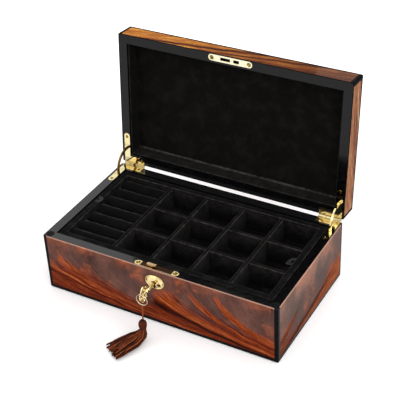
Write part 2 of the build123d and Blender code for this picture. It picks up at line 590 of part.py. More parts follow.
# Key, and the collar that slides with it
tip_y = CASE_Y + CASE_THICKNESS - CASE_WALL - KEY_END_GAP
collar_y = -OUT_Y - COLLAR_OUT
stem_end_y = BOW_Y + BOW_LENGTH / 2 - STEM_LAP
stem = rod(0, (tip_y + stem_end_y) / 2, KEY_Z, STEM_R, tip_y - stem_end_y, "Y")
bit_front = CASE_Y + CASE_WALL + KEY_END_GAP
half_bit = BIT_THICKNESS / 2
bit = block((-half_bit, bit_front, KEY_Z - BIT_REACH), (half_bit, tip_y, KEY_Z))
bow = extrude(Ellipse(BOW_LENGTH / 2, BOW_HEIGHT / 2), BOW_THICKNESS / 2, both=True)
bow = fillet(bow.edges(), BOW_ROUND)
bow -= Pos(-BOW_HOLE_FORWARD, BOW_HOLE_UP, 0) * Cylinder(BOW_HOLE_R, 2 * BOW_THICKNESS)
for up in (-1, 1):
    bow -= Pos(PIERCING_BACK, up * PIERCING_OUT, 0) * Cylinder(PIERCING_R, 2 * BOW_THICKNESS)
bow = Pos(0, BOW_Y, KEY_Z) * (Plane.YZ * bow)
save("key", stem + bit + bow)
collar = rod(0, collar_y, KEY_Z, COLLAR_R, COLLAR, "Y")
save("key_collar", collar - rod(0, collar_y, KEY_Z, STEM_R + STEM_CLEARANCE, 2 * COLLAR, "Y"))

# Ring, cord and tassel
save("key_ring", Pos(0, RING_Y, RING_Z) * Rot(90, 0, 0) * Torus(RING_R, RING_WIRE_R))
points = [Vector(*point) for point in CORD_POINTS]
radii = []
for before, at, after in zip(points, points[1:], points[2:]):
    turn = (at - before).get_angle(after - at)
    shorter = min((at - before).length, (after - at).length)
    radii.append(0.45 * shorter / sin(radians(turn / 2)) * cos(radians(turn / 2)))
print("cord arc radii", [round(radius, 1) for radius in radii])
route = FilletPolyline(*points, radius=radii)
section = Plane(points[0], z_dir=points[1] - points[0]) * Circle(CORD_R)
cord = sweep(section, path=route)
print("cord length", round(route.length, 2), "volume ratio", cord.volume / (section.area * route.length))
save("tassel_cord", cord)

head_profile = Polyline(
    (0, TASSEL_HEAD_FOOT), (TASSEL_NECK_R, TASSEL_HEAD_FOOT),
    (TASSEL_HEAD_R, TASSEL_HEAD_FOOT + TASSEL_CHEEK),
    (TASSEL_HEAD_R, TASSEL_HEAD_TOP - TASSEL_SHOULDER - TASSEL_CHEEK),
    (TASSEL_NECK_R, TASSEL_HEAD_TOP - TASSEL_SHOULDER),
    (TASSEL_NECK_R / 2, TASSEL_HEAD_TOP), (0, TASSEL_HEAD_TOP), close=True,
)
head = Pos(TASSEL_X, TASSEL_Y, 0) * revolve(Plane.XZ * make_face(head_profile), axis=Axis.Z)
save("tassel_head", head - cord)


def skirt_section(centre, half_width, half_thickness, fall):
    """One oval section of the skirt, square to its strands."""
    heading, dip = radians(SKIRT_HEADING), radians(fall)
    along = (cos(heading) * cos(dip), sin(heading) * cos(dip), -sin(dip))
    across = (-sin(heading), cos(heading), 0)
    return Plane(centre, x_dir=across, z_dir=along) * Ellipse(half_width, half_thickness)


save("tassel_skirt", loft([skirt_section(*one) for one in SKIRT], ruled=True))
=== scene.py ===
"""Dresses the cufflink display box in flame veneer, lacquer, brass, suede and silk, in a pale studio."""

import json
import logging
import math
import random
from dataclasses import dataclass, field
from enum import Enum

import bpy
import numpy as np
from mathutils import Matrix, Vector, noise


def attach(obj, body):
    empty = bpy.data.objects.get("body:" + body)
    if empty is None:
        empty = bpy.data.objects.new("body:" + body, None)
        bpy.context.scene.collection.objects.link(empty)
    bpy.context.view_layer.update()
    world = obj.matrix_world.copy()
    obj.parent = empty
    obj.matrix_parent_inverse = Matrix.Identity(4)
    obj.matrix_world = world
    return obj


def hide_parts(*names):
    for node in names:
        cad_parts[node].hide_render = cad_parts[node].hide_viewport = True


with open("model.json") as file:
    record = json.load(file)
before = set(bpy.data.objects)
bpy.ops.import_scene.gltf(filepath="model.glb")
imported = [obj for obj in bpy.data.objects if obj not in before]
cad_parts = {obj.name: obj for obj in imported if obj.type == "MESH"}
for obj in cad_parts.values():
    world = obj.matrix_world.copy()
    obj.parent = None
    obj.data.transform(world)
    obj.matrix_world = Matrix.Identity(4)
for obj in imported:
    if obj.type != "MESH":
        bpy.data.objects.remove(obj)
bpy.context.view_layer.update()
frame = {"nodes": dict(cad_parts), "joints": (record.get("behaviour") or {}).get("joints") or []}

LOG = logging.getLogger("cufflink_box")
MM = 0.001
FULL_TURN = 2 * math.pi
Colour = tuple[float, float, float, float]
Place = tuple[float, float, float]
Points = tuple[tuple[float, float], ...]
Socket = bpy.types.NodeSocket
WHITE: Colour = (1.0, 1.0, 1.0, 1.0)
BLACK: Colour = (0.0, 0.0, 0.0, 1.0)


class Body(str, Enum):
    """The bodies that a made piece can ride on."""

    BASE = "base"
    LID = "lid"
    TRAY = "tray"
    COLLAR = "key_collar"
    KEY = "key"
    TASSEL = "tassel"


class Slot(str, Enum):
    """The record's material slots."""

    VENEER = "mahogany_veneer"
    LACQUER = "black_lacquer"
    SUEDE = "black_suede"
    FELT = "felt"
    BRASS = "brass"
    STEEL = "lock_steel"
    RUBBER = "bumper_rubber"
    RIBBON = "ribbon"
    SILK = "tassel_silk"


def tone(red: float, green: float, blue: float) -> Colour:
    """A colour as it shows on a screen, 0 to 255, turned into the shader's linear light.

    Args:
        red, green, blue: the colour as it shows.

    Returns:
        The linear colour with an opaque alpha.
    """
    return (*[(c / 255) ** 2.2 for c in (red, green, blue)], 1.0)


def joint(name: str) -> dict:
    """The record's joint of that name."""
    return next(one for one in frame["joints"] if one["name"] == name)


HINGE = Vector(joint("lid_hinge")["pos_m"])
OPEN_ANGLE = -joint("lid_hinge")["range_deg"][0]
SWING = (
    Matrix.Translation(HINGE)
    @ Matrix.Rotation(-math.radians(OPEN_ANGLE), 4, "X")
    @ Matrix.Translation(-HINGE)
)
UPRIGHT = Matrix.Identity(4)


# Node trees ---------------------------------------------------------------------------------------


class Field:
    """A value that varies over a surface. It is a node's output, and arithmetic with it adds nodes."""

    def __init__(self, graph: "Graph", socket: Socket) -> None:
        """Remembers the output and the tree that it is in."""
        self.graph, self.socket = graph, socket

    def math(self, operation: str, *others: "Value") -> "Field":
        """The result of one Math node that starts with this value."""
        return self.graph.add("Math", dict(enumerate((self, *others))), operation=operation)

    def __add__(self, other: "Value") -> "Field":
        """The sum."""
        return self.math("ADD", other)

    def __sub__(self, other: "Value") -> "Field":
        """The difference."""
        return self.math("SUBTRACT", other)

    def __mul__(self, other: "Value") -> "Field":
        """The product."""
        return self.math("MULTIPLY", other)

    def times(self, factor: "Value", plus: "Value") -> "Field":
        """The product with a factor, plus another value."""
        return self.math("MULTIPLY_ADD", factor, plus)

    def smooth(self, low: "Value", high: "Value") -> "Field":
        """0 at low, 1 at high and an S curve between. It falls where high is the smaller of the two."""
        span = {"Value": self, "From Min": low, "From Max": high}
        return self.graph.add("MapRange", span, interpolation_type="SMOOTHSTEP")

    def parts(self) -> tuple["Field", "Field", "Field"]:
        """A vector's three numbers."""
        node = self.graph.add("SeparateXYZ", {0: self}).socket.node
        return tuple(Field(self.graph, output) for output in node.outputs)

    def length(self) -> "Field":
        """A vector's length."""
        return self.graph.add("VectorMath", {0: self}, out="Value", operation="LENGTH")

    def noise(self, scale: float, detail: float = 3.0, roughness: float = 0.5) -> "Field":
        """Noise about 0.5, with this vector as the coordinates.

        Args:
            scale: cells per unit of the coordinates.
            detail: how many finer layers are added.
            roughness: how strong those are.

        Returns:
            The value, 0 to 1.
        """
        sizes = {"Vector": self, "Scale": scale, "Detail": detail, "Roughness": roughness}
        return self.graph.add("TexNoise", sizes, out="Fac")

    def ramp(self, *stops: tuple[float, Colour]) -> "Field":
        """A colour ramp.

        Args:
            stops: positions and their colours.

        Returns:
            The colour at this value.
        """
        made = self.graph.add("ValToRGB", {0: self})
        elements = made.socket.node.color_ramp.elements
        while len(elements) < len(stops):
            elements.new(0.5)
        for element, (position, colour) in zip(elements, stops):
            element.position = position
            element.color = colour
        return made

    def curve(self, points: Points) -> "Field":
        """A smooth curve.

        Args:
            points: what it goes through. Their numbers are all from 0 to 1.

        Returns:
            The curve's height at this value.
        """
        made = self.graph.add("FloatCurve", {1: self})
        mapping = made.socket.node.mapping
        line = mapping.curves[0]
        while len(line.points) < len(points):
            line.points.new(0.5, 0.5)
        for point, location in zip(line.points, points):
            point.location = location
        mapping.update()
        return made

    def bump(self, strength: float, distance: float) -> "Field":
        """A normal from this height, with the relief's depth in metres."""
        return self.graph.add("Bump", {"Strength": strength, "Distance": distance, "Height": self})


Value = float | tuple[float, ...] | Field


class Graph:
    """Writes the nodes of one tree."""

    def __init__(self, tree: bpy.types.NodeTree) -> None:
        """Takes the tree to fill."""
        self.tree = tree

    def feed(self, socket: Socket, value: Value) -> None:
        """Links a socket, or sets it to a constant.

        Args:
            socket: the input.
            value: what goes into it.
        """
        if isinstance(value, Field):
            self.tree.links.new(value.socket, socket)
        else:
            socket.default_value = value

    def add(
        self, kind: str, inputs: dict[str | int, Value] | None = None, out: str | int = 0, **settings: object
    ) -> Field:
        """Adds a node.

        Args:
            kind: the node's type, without its ShaderNode prefix.
            inputs: what goes into its sockets, by name or place.
            out: the output that is wanted.
            settings: the node's own properties.

        Returns:
            That output.
        """
        node = self.tree.nodes.new("ShaderNode" + kind)
        for name, value in settings.items():
            setattr(node, name, value)
        for name, value in (inputs or {}).items():
            self.feed(node.inputs[name], value)
        return Field(self, node.outputs[out])

    def shade(self, **values: Value) -> None:
        """Feeds or sets the main shader's own sockets.

        Args:
            values: what goes in, by the socket's name, in which underscores stand for spaces.
        """
        shader = self.tree.nodes["Principled BSDF"]
        for name, value in values.items():
            self.feed(shader.inputs[name.replace("_", " ")], value)

    def vector(self, x: Value, y: Value, z: Value = 0.0) -> Field:
        """Three numbers as one vector."""
        return self.add("CombineXYZ", {0: x, 1: y, 2: z})

    def place(self) -> Field:
        """The point on the piece, in the box's own frame at rest."""
        return self.add("TexCoord", out="Object")

    def sheen_wear_and_tone(self) -> Field:
        """How pale the mesh says that the point is: painted sheen and wear on cloth, a strand's own tone on
        silk.
        """
        return self.add("Attribute", out="Fac", attribute_name="sheen_wear_and_tone")

    def blend(self, factor: Value, first: Value, second: Value, mode: str = "MIX") -> Field:
        """Two colours mixed."""
        return self.add("Mix", {0: factor, 6: first, 7: second}, out=2, data_type="RGBA", blend_type=mode)


# Finishes -----------------------------------------------------------------------------------------


class Finish:
    """A material made of nodes. Each kind of finish says what its surface is like in dress()."""

    title: str
    slot: Slot

    def dress(self, graph: Graph) -> None:
        """Fills the material's shader."""
        raise NotImplementedError

    def material(self) -> bpy.types.Material:
        """Makes the material once, and then shares it.

        Returns:
            The material.
        """
        found = bpy.data.materials.get(self.title)
        if found:
            return found
        made = bpy.data.materials.new(self.title)
        made.use_nodes = True
        self.dress(Graph(made.node_tree))
        return made

    def put_on(self, piece: bpy.types.Object) -> bpy.types.Object:
        """Gives a piece this finish.

        Args:
            piece: what is dressed.

        Returns:
            The piece.
        """
        if piece.material_slots:
            for place in piece.material_slots:
                place.material = self.material()
        else:
            piece.data.materials.append(self.material())
        return piece


PLAIN_BANDS: Points = (
    (-1.6, 0.25), (-1.1, 0.5), (-0.8, 0.6), (-0.6, 0.4), (-0.4, 0.62), (-0.25, 0.34), (-0.05, 0.6),
    (0.2, 0.42), (0.6, 0.55),
)
PLAIN_TONGUES: Points = (
    (-1.6, 0.0), (-0.6, 0.0), (-0.5, 0.3), (-0.4, 0.0), (-0.1, 0.0), (0.02, 0.5), (0.12, 0.05),
    (0.3, 0.4), (0.6, 0.0),
)
PLAIN_FLECKS: Points = ((-145, 0.2), (-90, 0.7), (-40, 0.2), (0, 0.6), (60, 0.2), (100, 0.7), (145, 0.2))
NEVER = 300.0  # a height that no face reaches


@dataclass(frozen=True)
class FlameFigure:
    """How the plume figure lies on one veneered face.

    The plumes fall along one direction and flatten towards the foot, so that a plume is a line on which
    rate * along - exp(-height / fall) keeps its value. Lengths are in millimetres.
    """

    along: Place
    up: Place
    foot: float = 0.0
    reflection_veil: Points = ((-145, 36), (-60, 30), (0, 36), (70, 28), (145, 30))  # the lower edge of a painted reflection, a greyish veil over the dark heart
    bands: Points = PLAIN_BANDS  # how light the wood is from plume to plume
    tongues: Points = PLAIN_TONGUES  # how far a plume licks up into the heart, as a share of its reach
    flecks: Points = PLAIN_FLECKS  # how strong the red flecks are along the top edge
    rate: float = 0.0040
    fall: float = 18.0
    seed: float = 0.0
    matched: bool = False  # a mirrored pair of leaves
    on_lid: bool = False
    gradient: tuple[float, float] = (1.0, 1.0)  # painted light: brightness at the two ends
    tint: Place = (1.0, 1.0, 1.0)
    calm: tuple[float, float] = (-NEVER, 1 - NEVER)  # between these the broad bands come in
    depth: float = 1.0  # how strong they are
    drift: float = 42.0  # how far the slanting grain wanders
    fleck_drop: float = 34.0  # how far down the flecks reach
    cloud: float = 0.0  # how grey the heart's darkest clouds are, as more painted reflection
    arris: float = NEVER  # height of the upper edge, which carries a painted highlight
    inked_foot: float = -NEVER  # height of a lower edge that is blackened with the rim
    inked_top: float = NEVER  # height of such an upper edge
    painted_sheen: float = 0.0  # how pale the heart is near the top: a painted sheen
    grain: float = 0.06  # how plain the heart's slanting grain is


@dataclass
class FacePoint:
    """A point of a veneered face: its place in millimetres, its share of the width, and its plume."""

    along: Field
    height: Field
    share: Field
    plume: Field
    band: Field


@dataclass(frozen=True)
class FlameVeneer(Finish):
    """Crotch mahogany under a gloss lacquer."""

    figure: FlameFigure
    title: str
    slot: Slot = Slot.VENEER
    reach: float = 150.0  # half of the widest face
    tallest: float = 170.0
    lowest_band: float = -1.6
    band_span: float = 2.2
    even: float = 0.58  # the lightness about which the bands vary
    tongue_reach: float = 40.0
    streaks: tuple[Place, ...] = (
        (8.0, 0.01, 0.34), (22.0, 0.02, 0.6), (64.0, 0.045, 0.85), (180.0, 0.1, 0.8),
    )
    rags: Points = ((11.0, 14.0), (34.0, 22.0), (80.0, 22.0))  # how fine and how far the heart's edge frays
    wood: tuple[tuple[float, Colour], ...] = (
        (0.0, tone(20, 8, 6)), (0.2, tone(48, 18, 11)), (0.4, tone(86, 32, 15)), (0.56, tone(120, 50, 24)),
        (0.74, tone(154, 76, 38)), (1.0, tone(206, 128, 74)),
    )

    def dress(self, graph: Graph) -> None:
        """Streaks that follow the plumes, and over them a painted reflection: a greyish veil over the dark
        heart with its red flecks.

        Args:
            graph: the tree to fill.
        """
        figure = self.figure
        at = self.coordinates(graph)
        streak = self.streak(graph, at)
        # Painted light: a straight ramp of brightness from one end of the face to the other.
        left, right = figure.gradient
        gain = at.share.times(right - left, left)
        tinted = graph.vector(*[gain * part for part in figure.tint])
        wood = graph.blend(1.0, streak.ramp(*self.wood), tinted, "MULTIPLY")
        # Painted reflection: a greyish veil over the dark heart, in the upper part of the face.
        reflection_veil = self.reflection_veil(graph, at)
        colour = graph.blend(reflection_veil, wood, self.heart_and_reflection(graph, at, streak))
        fringe = reflection_veil.smooth(0.1, 0.45) * reflection_veil.smooth(0.95, 0.6) * streak.smooth(0.45, 0.8)
        colour = graph.blend(fringe * 0.7, colour, tone(172, 84, 52))
        mottle = self.cells(graph, at.along, at.height, 31, 0.4, 2.0)
        colour = graph.blend(0.3, colour, mottle.ramp((0.3, tone(150, 150, 150)), (0.7, WHITE)), "MULTIPLY")
        # Painted highlight: a pale line along the lacquered upper arris.
        paleness = at.height.smooth(figure.arris - 1.1, figure.arris - 0.4) * 0.48
        colour = graph.blend(paleness, colour, tone(214, 170, 148))
        for edge, side in ((figure.inked_foot, 0.08), (figure.inked_top, -0.08)):
            colour = graph.blend(at.height.smooth(edge + side, edge), colour, tone(14, 14, 15))
        graph.shade(
            Base_Color=colour,
            Roughness=streak.times(-0.25, 0.6),
            Specular_IOR_Level=0.0,
            Coat_Normal=graph.place().noise(45.0, 1.0).bump(0.04, 0.001),
            Coat_Weight=0.16,
            Coat_Roughness=0.03,
            Coat_IOR=1.45,
        )

    def cells(
        self,
        graph: Graph,
        x: Value,
        y: Value,
        layer: float,
        scale: float,
        detail: float = 3.0,
        roughness: float = 0.5,
    ) -> Field:
        """Noise over two coordinates, which differs from face to face and from layer to layer."""
        return graph.vector(x, y, self.figure.seed + layer).noise(scale, detail, roughness)

    def coordinates(self, graph: Graph) -> FacePoint:
        """Where the point lies along the face, above its foot and among the plumes.

        Args:
            graph: the tree to fill.

        Returns:
            Its place.
        """
        figure = self.figure
        turn = SWING.to_3x3() if figure.on_lid else UPRIGHT.to_3x3()
        found = []
        for axis in (Vector(figure.along), Vector(figure.up)):
            turned = turn @ axis
            inputs = {0: graph.place(), 1: tuple(turned / MM)}
            product = graph.add("VectorMath", inputs, out="Value", operation="DOT_PRODUCT")
            found.append(product + (axis - turned).dot(HINGE) / MM)
        along, height = found
        if figure.matched:
            along = along.math("SMOOTH_MAX", along * -1.0, 2.0)
        height = height - figure.foot
        bent = (self.cells(graph, along, height, 0, 0.014, 2.0) - 0.5).times(20.0, along)
        lifted = (self.cells(graph, along, height, 3, 0.05, 2.0) - 0.5).times(4.5, height)
        plume = bent * figure.rate - (lifted * (-1 / figure.fall)).math("EXPONENT")
        band = plume.times(1 / self.band_span, -self.lowest_band / self.band_span)
        return FacePoint(along, height, along.times(0.5 / self.reach, 0.5), plume, band)

    def streak(self, graph: Graph, at: FacePoint) -> Field:
        """The broad bands, and finer streaks drawn out along the plumes.

        Args:
            graph: the tree to fill.
            at: where the point lies on the face.

        Returns:
            How light the wood is.
        """
        figure = self.figure
        broad = self.across_bands(at, figure.bands) - self.even
        total = broad.times(at.along.smooth(*figure.calm) * figure.depth, self.even)
        for number, (across, stretch, weight) in enumerate(self.streaks):
            layer = self.cells(graph, at.plume * across, at.along * stretch, 11 * number, 1.0, 2.0, 0.6) - 0.5
            total = layer.times(weight, total)
        return total

    def across_bands(self, at: FacePoint, points: Points) -> Field:
        """A curve over the plumes."""
        return at.band.curve(tuple(((s - self.lowest_band) / self.band_span, value) for s, value in points))

    def along_face(self, at: FacePoint, points: Points, scale: float = 1.0) -> Field:
        """A curve along the face, whose values are divided by the scale."""
        return at.share.curve(tuple((0.5 + a * 0.5 / self.reach, value / scale) for a, value in points))

    def reflection_veil(self, graph: Graph, at: FacePoint) -> Field:
        """How much of the painted reflection veil over the dark heart covers the point.

        Args:
            graph: the tree to fill.
            at: where the point lies on the face.

        Returns:
            The share, from 0 to 1.
        """
        edge = self.along_face(at, self.figure.reflection_veil, self.tallest) * self.tallest
        edge = self.across_bands(at, self.figure.tongues).times(self.tongue_reach, edge)
        for across, reach in self.rags:
            ragged = self.cells(graph, at.plume * across, at.height * 0.02, 0, 1.0, 2.0) - 0.5
            edge = ragged.times(reach, edge)
        return (at.height - edge).smooth(-9.0, 9.0)

    def heart_and_reflection(self, graph: Graph, at: FacePoint, streak: Field) -> Field:
        """The dark heart, greyed by a painted reflection: brown clouds, a fine slanting grain, red flecks
        towards the top edge, and a painted sheen near the top.

        Args:
            graph: the tree to fill.
            at: where the point lies on the face.
            streak: how light the wood is.

        Returns:
            Its colour.
        """
        figure, along, height = self.figure, at.along, at.height
        clouds = self.cells(graph, along, height * 0.6, 5, 0.03)
        ground = clouds.ramp((0.3, tone(62, 46, 45)), (0.5, tone(92, 67, 62)), (0.72, tone(128, 89, 80)))
        across = self.cells(graph, along, height, 21, 0.04).times(figure.drift, height - along)
        slant = self.cells(graph, across, along * 0.12, 7, 0.16, 4.0, 0.65)
        slanting = slant.ramp((0.34, tone(48, 34, 30)), (0.68, tone(166, 112, 90)))
        ground = graph.blend(figure.grain, ground, slanting)
        ground = graph.blend(0.22, ground, streak.ramp((0.25, tone(40, 24, 20)), (0.75, tone(140, 82, 62))))
        feather = self.cells(graph, across, height * 0.4, 17, 0.22, 4.0, 0.7)
        lowest = self.cells(graph, along, height * 1.5, 9, 0.09, 3.0, 0.6).times(-figure.fleck_drop, 74.0)
        strength = self.along_face(at, figure.flecks) * height.smooth(lowest, 80.0)
        low_flecks = self.cells(graph, along, height, 13, 0.045, 2.0).smooth(0.56, 0.78) * 0.8
        amount = graph.add("Clamp", {0: (strength + low_flecks) * feather.times(3.6, -1.1), 2: 0.9})
        flecked = graph.blend(amount, ground, tone(190, 98, 62))
        # Painted sheen: the heart pales towards the top of the face.
        painted_sheen_share = height.smooth(34.0, 72.0).times(0.75 * figure.painted_sheen, 0.25 * figure.painted_sheen)
        with_painted_sheen = graph.blend(painted_sheen_share, flecked, tone(186, 150, 134))
        return graph.blend(clouds.smooth(0.58, 0.4) * figure.cloud, with_painted_sheen, tone(92, 80, 76))


@dataclass(frozen=True)
class Lacquer(Finish):
    """Black gloss lacquer, with the faint waves of a brushed and rubbed coat."""

    title: str = "black_lacquer_rim"
    slot: Slot = Slot.LACQUER
    gloss: float = 0.6
    fall: float = 0.0  # how far the polished face falls towards the back, per unit of length

    def dress(self, graph: Graph) -> None:
        """A near-black ground, rubbed a little unevenly.

        Args:
            graph: the tree to fill.
        """
        where = graph.place()
        height = where.parts()[1].times(-self.fall, where.noise(90.0, 1.0) * 6e-5)
        graph.shade(
            Base_Color=where.noise(240.0, 4.0, 0.7).ramp((0.4, tone(12, 12, 13)), (0.75, tone(24, 24, 26))),
            Roughness=where.noise(60.0).times(0.1, 0.06),
            Normal=height.bump(1.0, 1.0),
            Specular_IOR_Level=self.gloss,
        )


@dataclass(frozen=True)
class Brass(Finish):
    """Polished brass with light tarnish."""

    title: str = "polished_brass"
    clean: Colour = tone(248, 228, 168)
    tarnished: Colour = tone(216, 172, 92)
    smoothness: float = 0.07
    dark: Colour = tone(98, 72, 32)
    slot: Slot = Slot.BRASS

    def darkening(self, graph: Graph) -> Value:
        """How much of the darker tone covers the point."""
        return 0.0

    def dress(self, graph: Graph) -> None:
        """Tarnish in soft clouds, and fine polishing lines in the roughness.

        Args:
            graph: the tree to fill.
        """
        where = graph.place()
        tarnish = where.noise(190.0, 3.0, 0.6).smooth(0.48, 0.78)
        colour = graph.blend(tarnish, self.clean, self.tarnished)
        drawn_out = graph.add("VectorMath", {0: where, 1: (1.0, 14.0, 14.0)}, operation="MULTIPLY")
        graph.shade(
            Base_Color=graph.blend(self.darkening(graph), colour, self.dark),
            Roughness=drawn_out.noise(300.0, 2.0).times(0.08, self.smoothness - 0.04),
            Normal=where.noise(160.0, 1.0).bump(0.05, 0.0004),
            Metallic=1.0,
        )


@dataclass(frozen=True)
class PlateBrass(Brass):
    """The faceplate's brass, browned between its bright ends, short of its front arris, by a painted
    reflection of the dark box.
    """

    def darkening(self, graph: Graph) -> Value:
        """Full between the screws, and none beyond them."""
        x, y, _ = graph.place().parts()
        # Painted reflection: the plate's middle is dark, as if it mirrored the dark box.
        return x.math("ABSOLUTE").smooth(20.2 * MM, 18.8 * MM) * y.smooth(-80.75 * MM, -80.4 * MM)


@dataclass(frozen=True)
class KeyBrass(Brass):
    """The key's brass, darker in patches on the stem."""

    def darkening(self, graph: Graph) -> Value:
        """Patches on the stem, and few on the bow.

        Args:
            graph: the tree to fill.

        Returns:
            The share, from 0 to 1.
        """
        where = graph.place()
        stem = where.parts()[1].smooth(-101.0 * MM, -97.0 * MM)
        return stem.times(0.72, 0.14) * where.noise(420.0, 2.0).smooth(0.62, 0.42)


@dataclass(frozen=True)
class HingeBrass(Brass):
    """The hinges' brass: dark lines along the knuckles, and a deeper gold on the short legs beside them."""

    knuckle: float = 2.5 * MM
    leg: float = 7.0 * MM

    def darkening(self, graph: Graph) -> Value:
        """Lines along the hinge's axis on the knuckles, and an even tarnish on the legs.

        Args:
            graph: the tree to fill.

        Returns:
            The share, from 0 to 1.
        """
        x, y, z = graph.place().parts()
        radius = graph.vector(y - HINGE.y, z - HINGE.z).length()
        drawn = graph.vector(x * 26.0, y * 760.0, z * 760.0).noise(1.0, 2.0)
        drawn = drawn.smooth(0.42, 0.56).times(0.7, 0.1)
        knuckles = radius.smooth(self.knuckle + 0.4 * MM, self.knuckle) * drawn
        return knuckles.math("MAXIMUM", radius.smooth(self.leg + 3 * MM, self.leg) * 0.34)


@dataclass(frozen=True)
class EscutcheonBrass(Brass):
    """The keyhole plate's brass, with painted shade round its edge."""

    half_length: float = 12.0 * MM
    half_height: float = 9.0 * MM
    centre_z: float = 58.0 * MM

    def darkening(self, graph: Graph) -> Value:
        """A dark line of painted shade along the oval edge.

        Args:
            graph: the tree to fill.

        Returns:
            The share, from 0 to 1.
        """
        x, _, z = graph.place().parts()
        across = x.math("DIVIDE", self.half_length)
        upward = (z - self.centre_z).math("DIVIDE", self.half_height)
        return graph.vector(across, upward).length().smooth(0.93, 0.985) * 0.85


@dataclass(frozen=True)
class Steel(Finish):
    """Plain steel of the lock's case."""

    title: str = "lock_case_steel"
    slot: Slot = Slot.STEEL

    def dress(self, graph: Graph) -> None:
        """Rolled steel with a faint grain.

        Args:
            graph: the tree to fill.
        """
        where = graph.place()
        graph.shade(
            Base_Color=where.noise(200.0).ramp((0.3, tone(120, 120, 118)), (0.7, tone(160, 160, 158))),
            Roughness=where.noise(800.0).times(0.3, 0.25),
            Metallic=1.0,
        )


@dataclass(frozen=True)
class Suede(Finish):
    """Black suede cloth with a short nap, paler at its edges with painted sheen and wear."""

    title: str = "black_suede_nap"
    slot: Slot = Slot.SUEDE
    ground: Colour = tone(13, 12, 12)
    brushed: Colour = tone(24, 22, 23)
    sheen_wear_and_tone: Colour = tone(92, 88, 86)
    lint: float = 0.3

    def sheen_and_wear(self, graph: Graph) -> Value:
        """How pale the nap is with painted sheen and wear, which the mesh carries."""
        return graph.sheen_wear_and_tone()

    def dress(self, graph: Graph) -> None:
        """Brushed patches, a fine nap, and edges paled by painted sheen and wear.

        Args:
            graph: the tree to fill.
        """
        where = graph.place()
        nap = where.noise(1400.0, 2.0, 0.7)
        colour = graph.blend(where.noise(60.0, 4.0, 0.65).smooth(0.42, 0.72), self.ground, self.brushed)
        uneven = where.noise(130.0, 4.0, 0.7).smooth(0.34, 0.72)
        # Painted sheen and wear: the cloth pales unevenly where the mesh or the finish says so.
        colour = graph.blend(self.sheen_and_wear(graph) * uneven.times(0.75, 0.12), colour, self.sheen_wear_and_tone)
        colour = graph.blend(where.noise(520.0, 3.0, 0.8).smooth(0.6, 0.78) * self.lint, colour, self.sheen_wear_and_tone)
        graph.shade(
            Base_Color=graph.blend(nap * 0.7, colour, BLACK),
            Roughness=0.95,
            Normal=nap.bump(0.5, 0.0004),
            Specular_IOR_Level=0.08,
            Sheen_Weight=0.02,
            Sheen_Roughness=0.45,
        )


@dataclass(frozen=True)
class TraySuede(Suede):
    """The tray's suede, with painted light that makes it paler towards the top of the cells' walls, but not
    on their flat top.
    """

    shaded: float = 50.0 * MM
    lit: float = 67.0 * MM
    top: float = 70.4 * MM

    def sheen_and_wear(self, graph: Graph) -> Value:
        """The mesh's own painted sheen and wear, or the painted light up the walls, whichever is more.

        Args:
            graph: the tree to fill.

        Returns:
            The share, from 0 to 1.
        """
        height = graph.place().parts()[2]
        # Painted light: the walls grow paler upwards, short of their flat top.
        below = height.smooth(self.top, self.top - 0.9 * MM) * 0.24
        return super().sheen_and_wear(graph).math("MAXIMUM", height.smooth(self.shaded, self.lit) * below)


@dataclass(frozen=True)
class LidSuede(Suede):
    """The lid's suede, with painted light on the board beside the hinges, which faces up when the lid is
    open, and a painted highlight along the pad's edge there.
    """

    shelf: float = 88.0 * MM
    seam: float = 105.6 * MM

    def sheen_and_wear(self, graph: Graph) -> Value:
        """The mesh's own painted sheen and wear, the board's painted light, or the seam's painted highlight,
        whichever is most.

        Args:
            graph: the tree to fill.

        Returns:
            The share, from 0 to 1.
        """
        _, y, z = graph.place().parts()
        board = z.smooth(self.shelf + 0.8 * MM, self.shelf)
        seam = board * y.smooth(self.seam - 0.9 * MM, self.seam)
        return super().sheen_and_wear(graph).math("MAXIMUM", (board * 0.15).math("MAXIMUM", seam * 1.5))


@dataclass(frozen=True)
class Ribbon(Finish):
    """Black satin ribbon with ribs across it."""

    title: str = "satin_ribbon"
    slot: Slot = Slot.RIBBON
    rib: float = 0.7 * MM

    def dress(self, graph: Graph) -> None:
        """Ribs, a soft satin gloss, and paler edges that are a painted highlight.

        Args:
            graph: the tree to fill.
        """
        ribs = (graph.place().parts()[1] * (FULL_TURN / self.rib)).math("SINE")
        ribbed = ribs.times(0.5, 0.5).ramp((0.0, tone(12, 12, 12)), (1.0, tone(24, 23, 23)))
        graph.shade(
            # Painted highlight: the edges pale where the mesh says so.
            Base_Color=graph.blend(graph.sheen_wear_and_tone(), ribbed, tone(84, 80, 78)),
            Roughness=0.5,
            Normal=ribs.bump(0.3, 0.0001),
            Specular_IOR_Level=0.12,
            Sheen_Weight=0.05,
        )


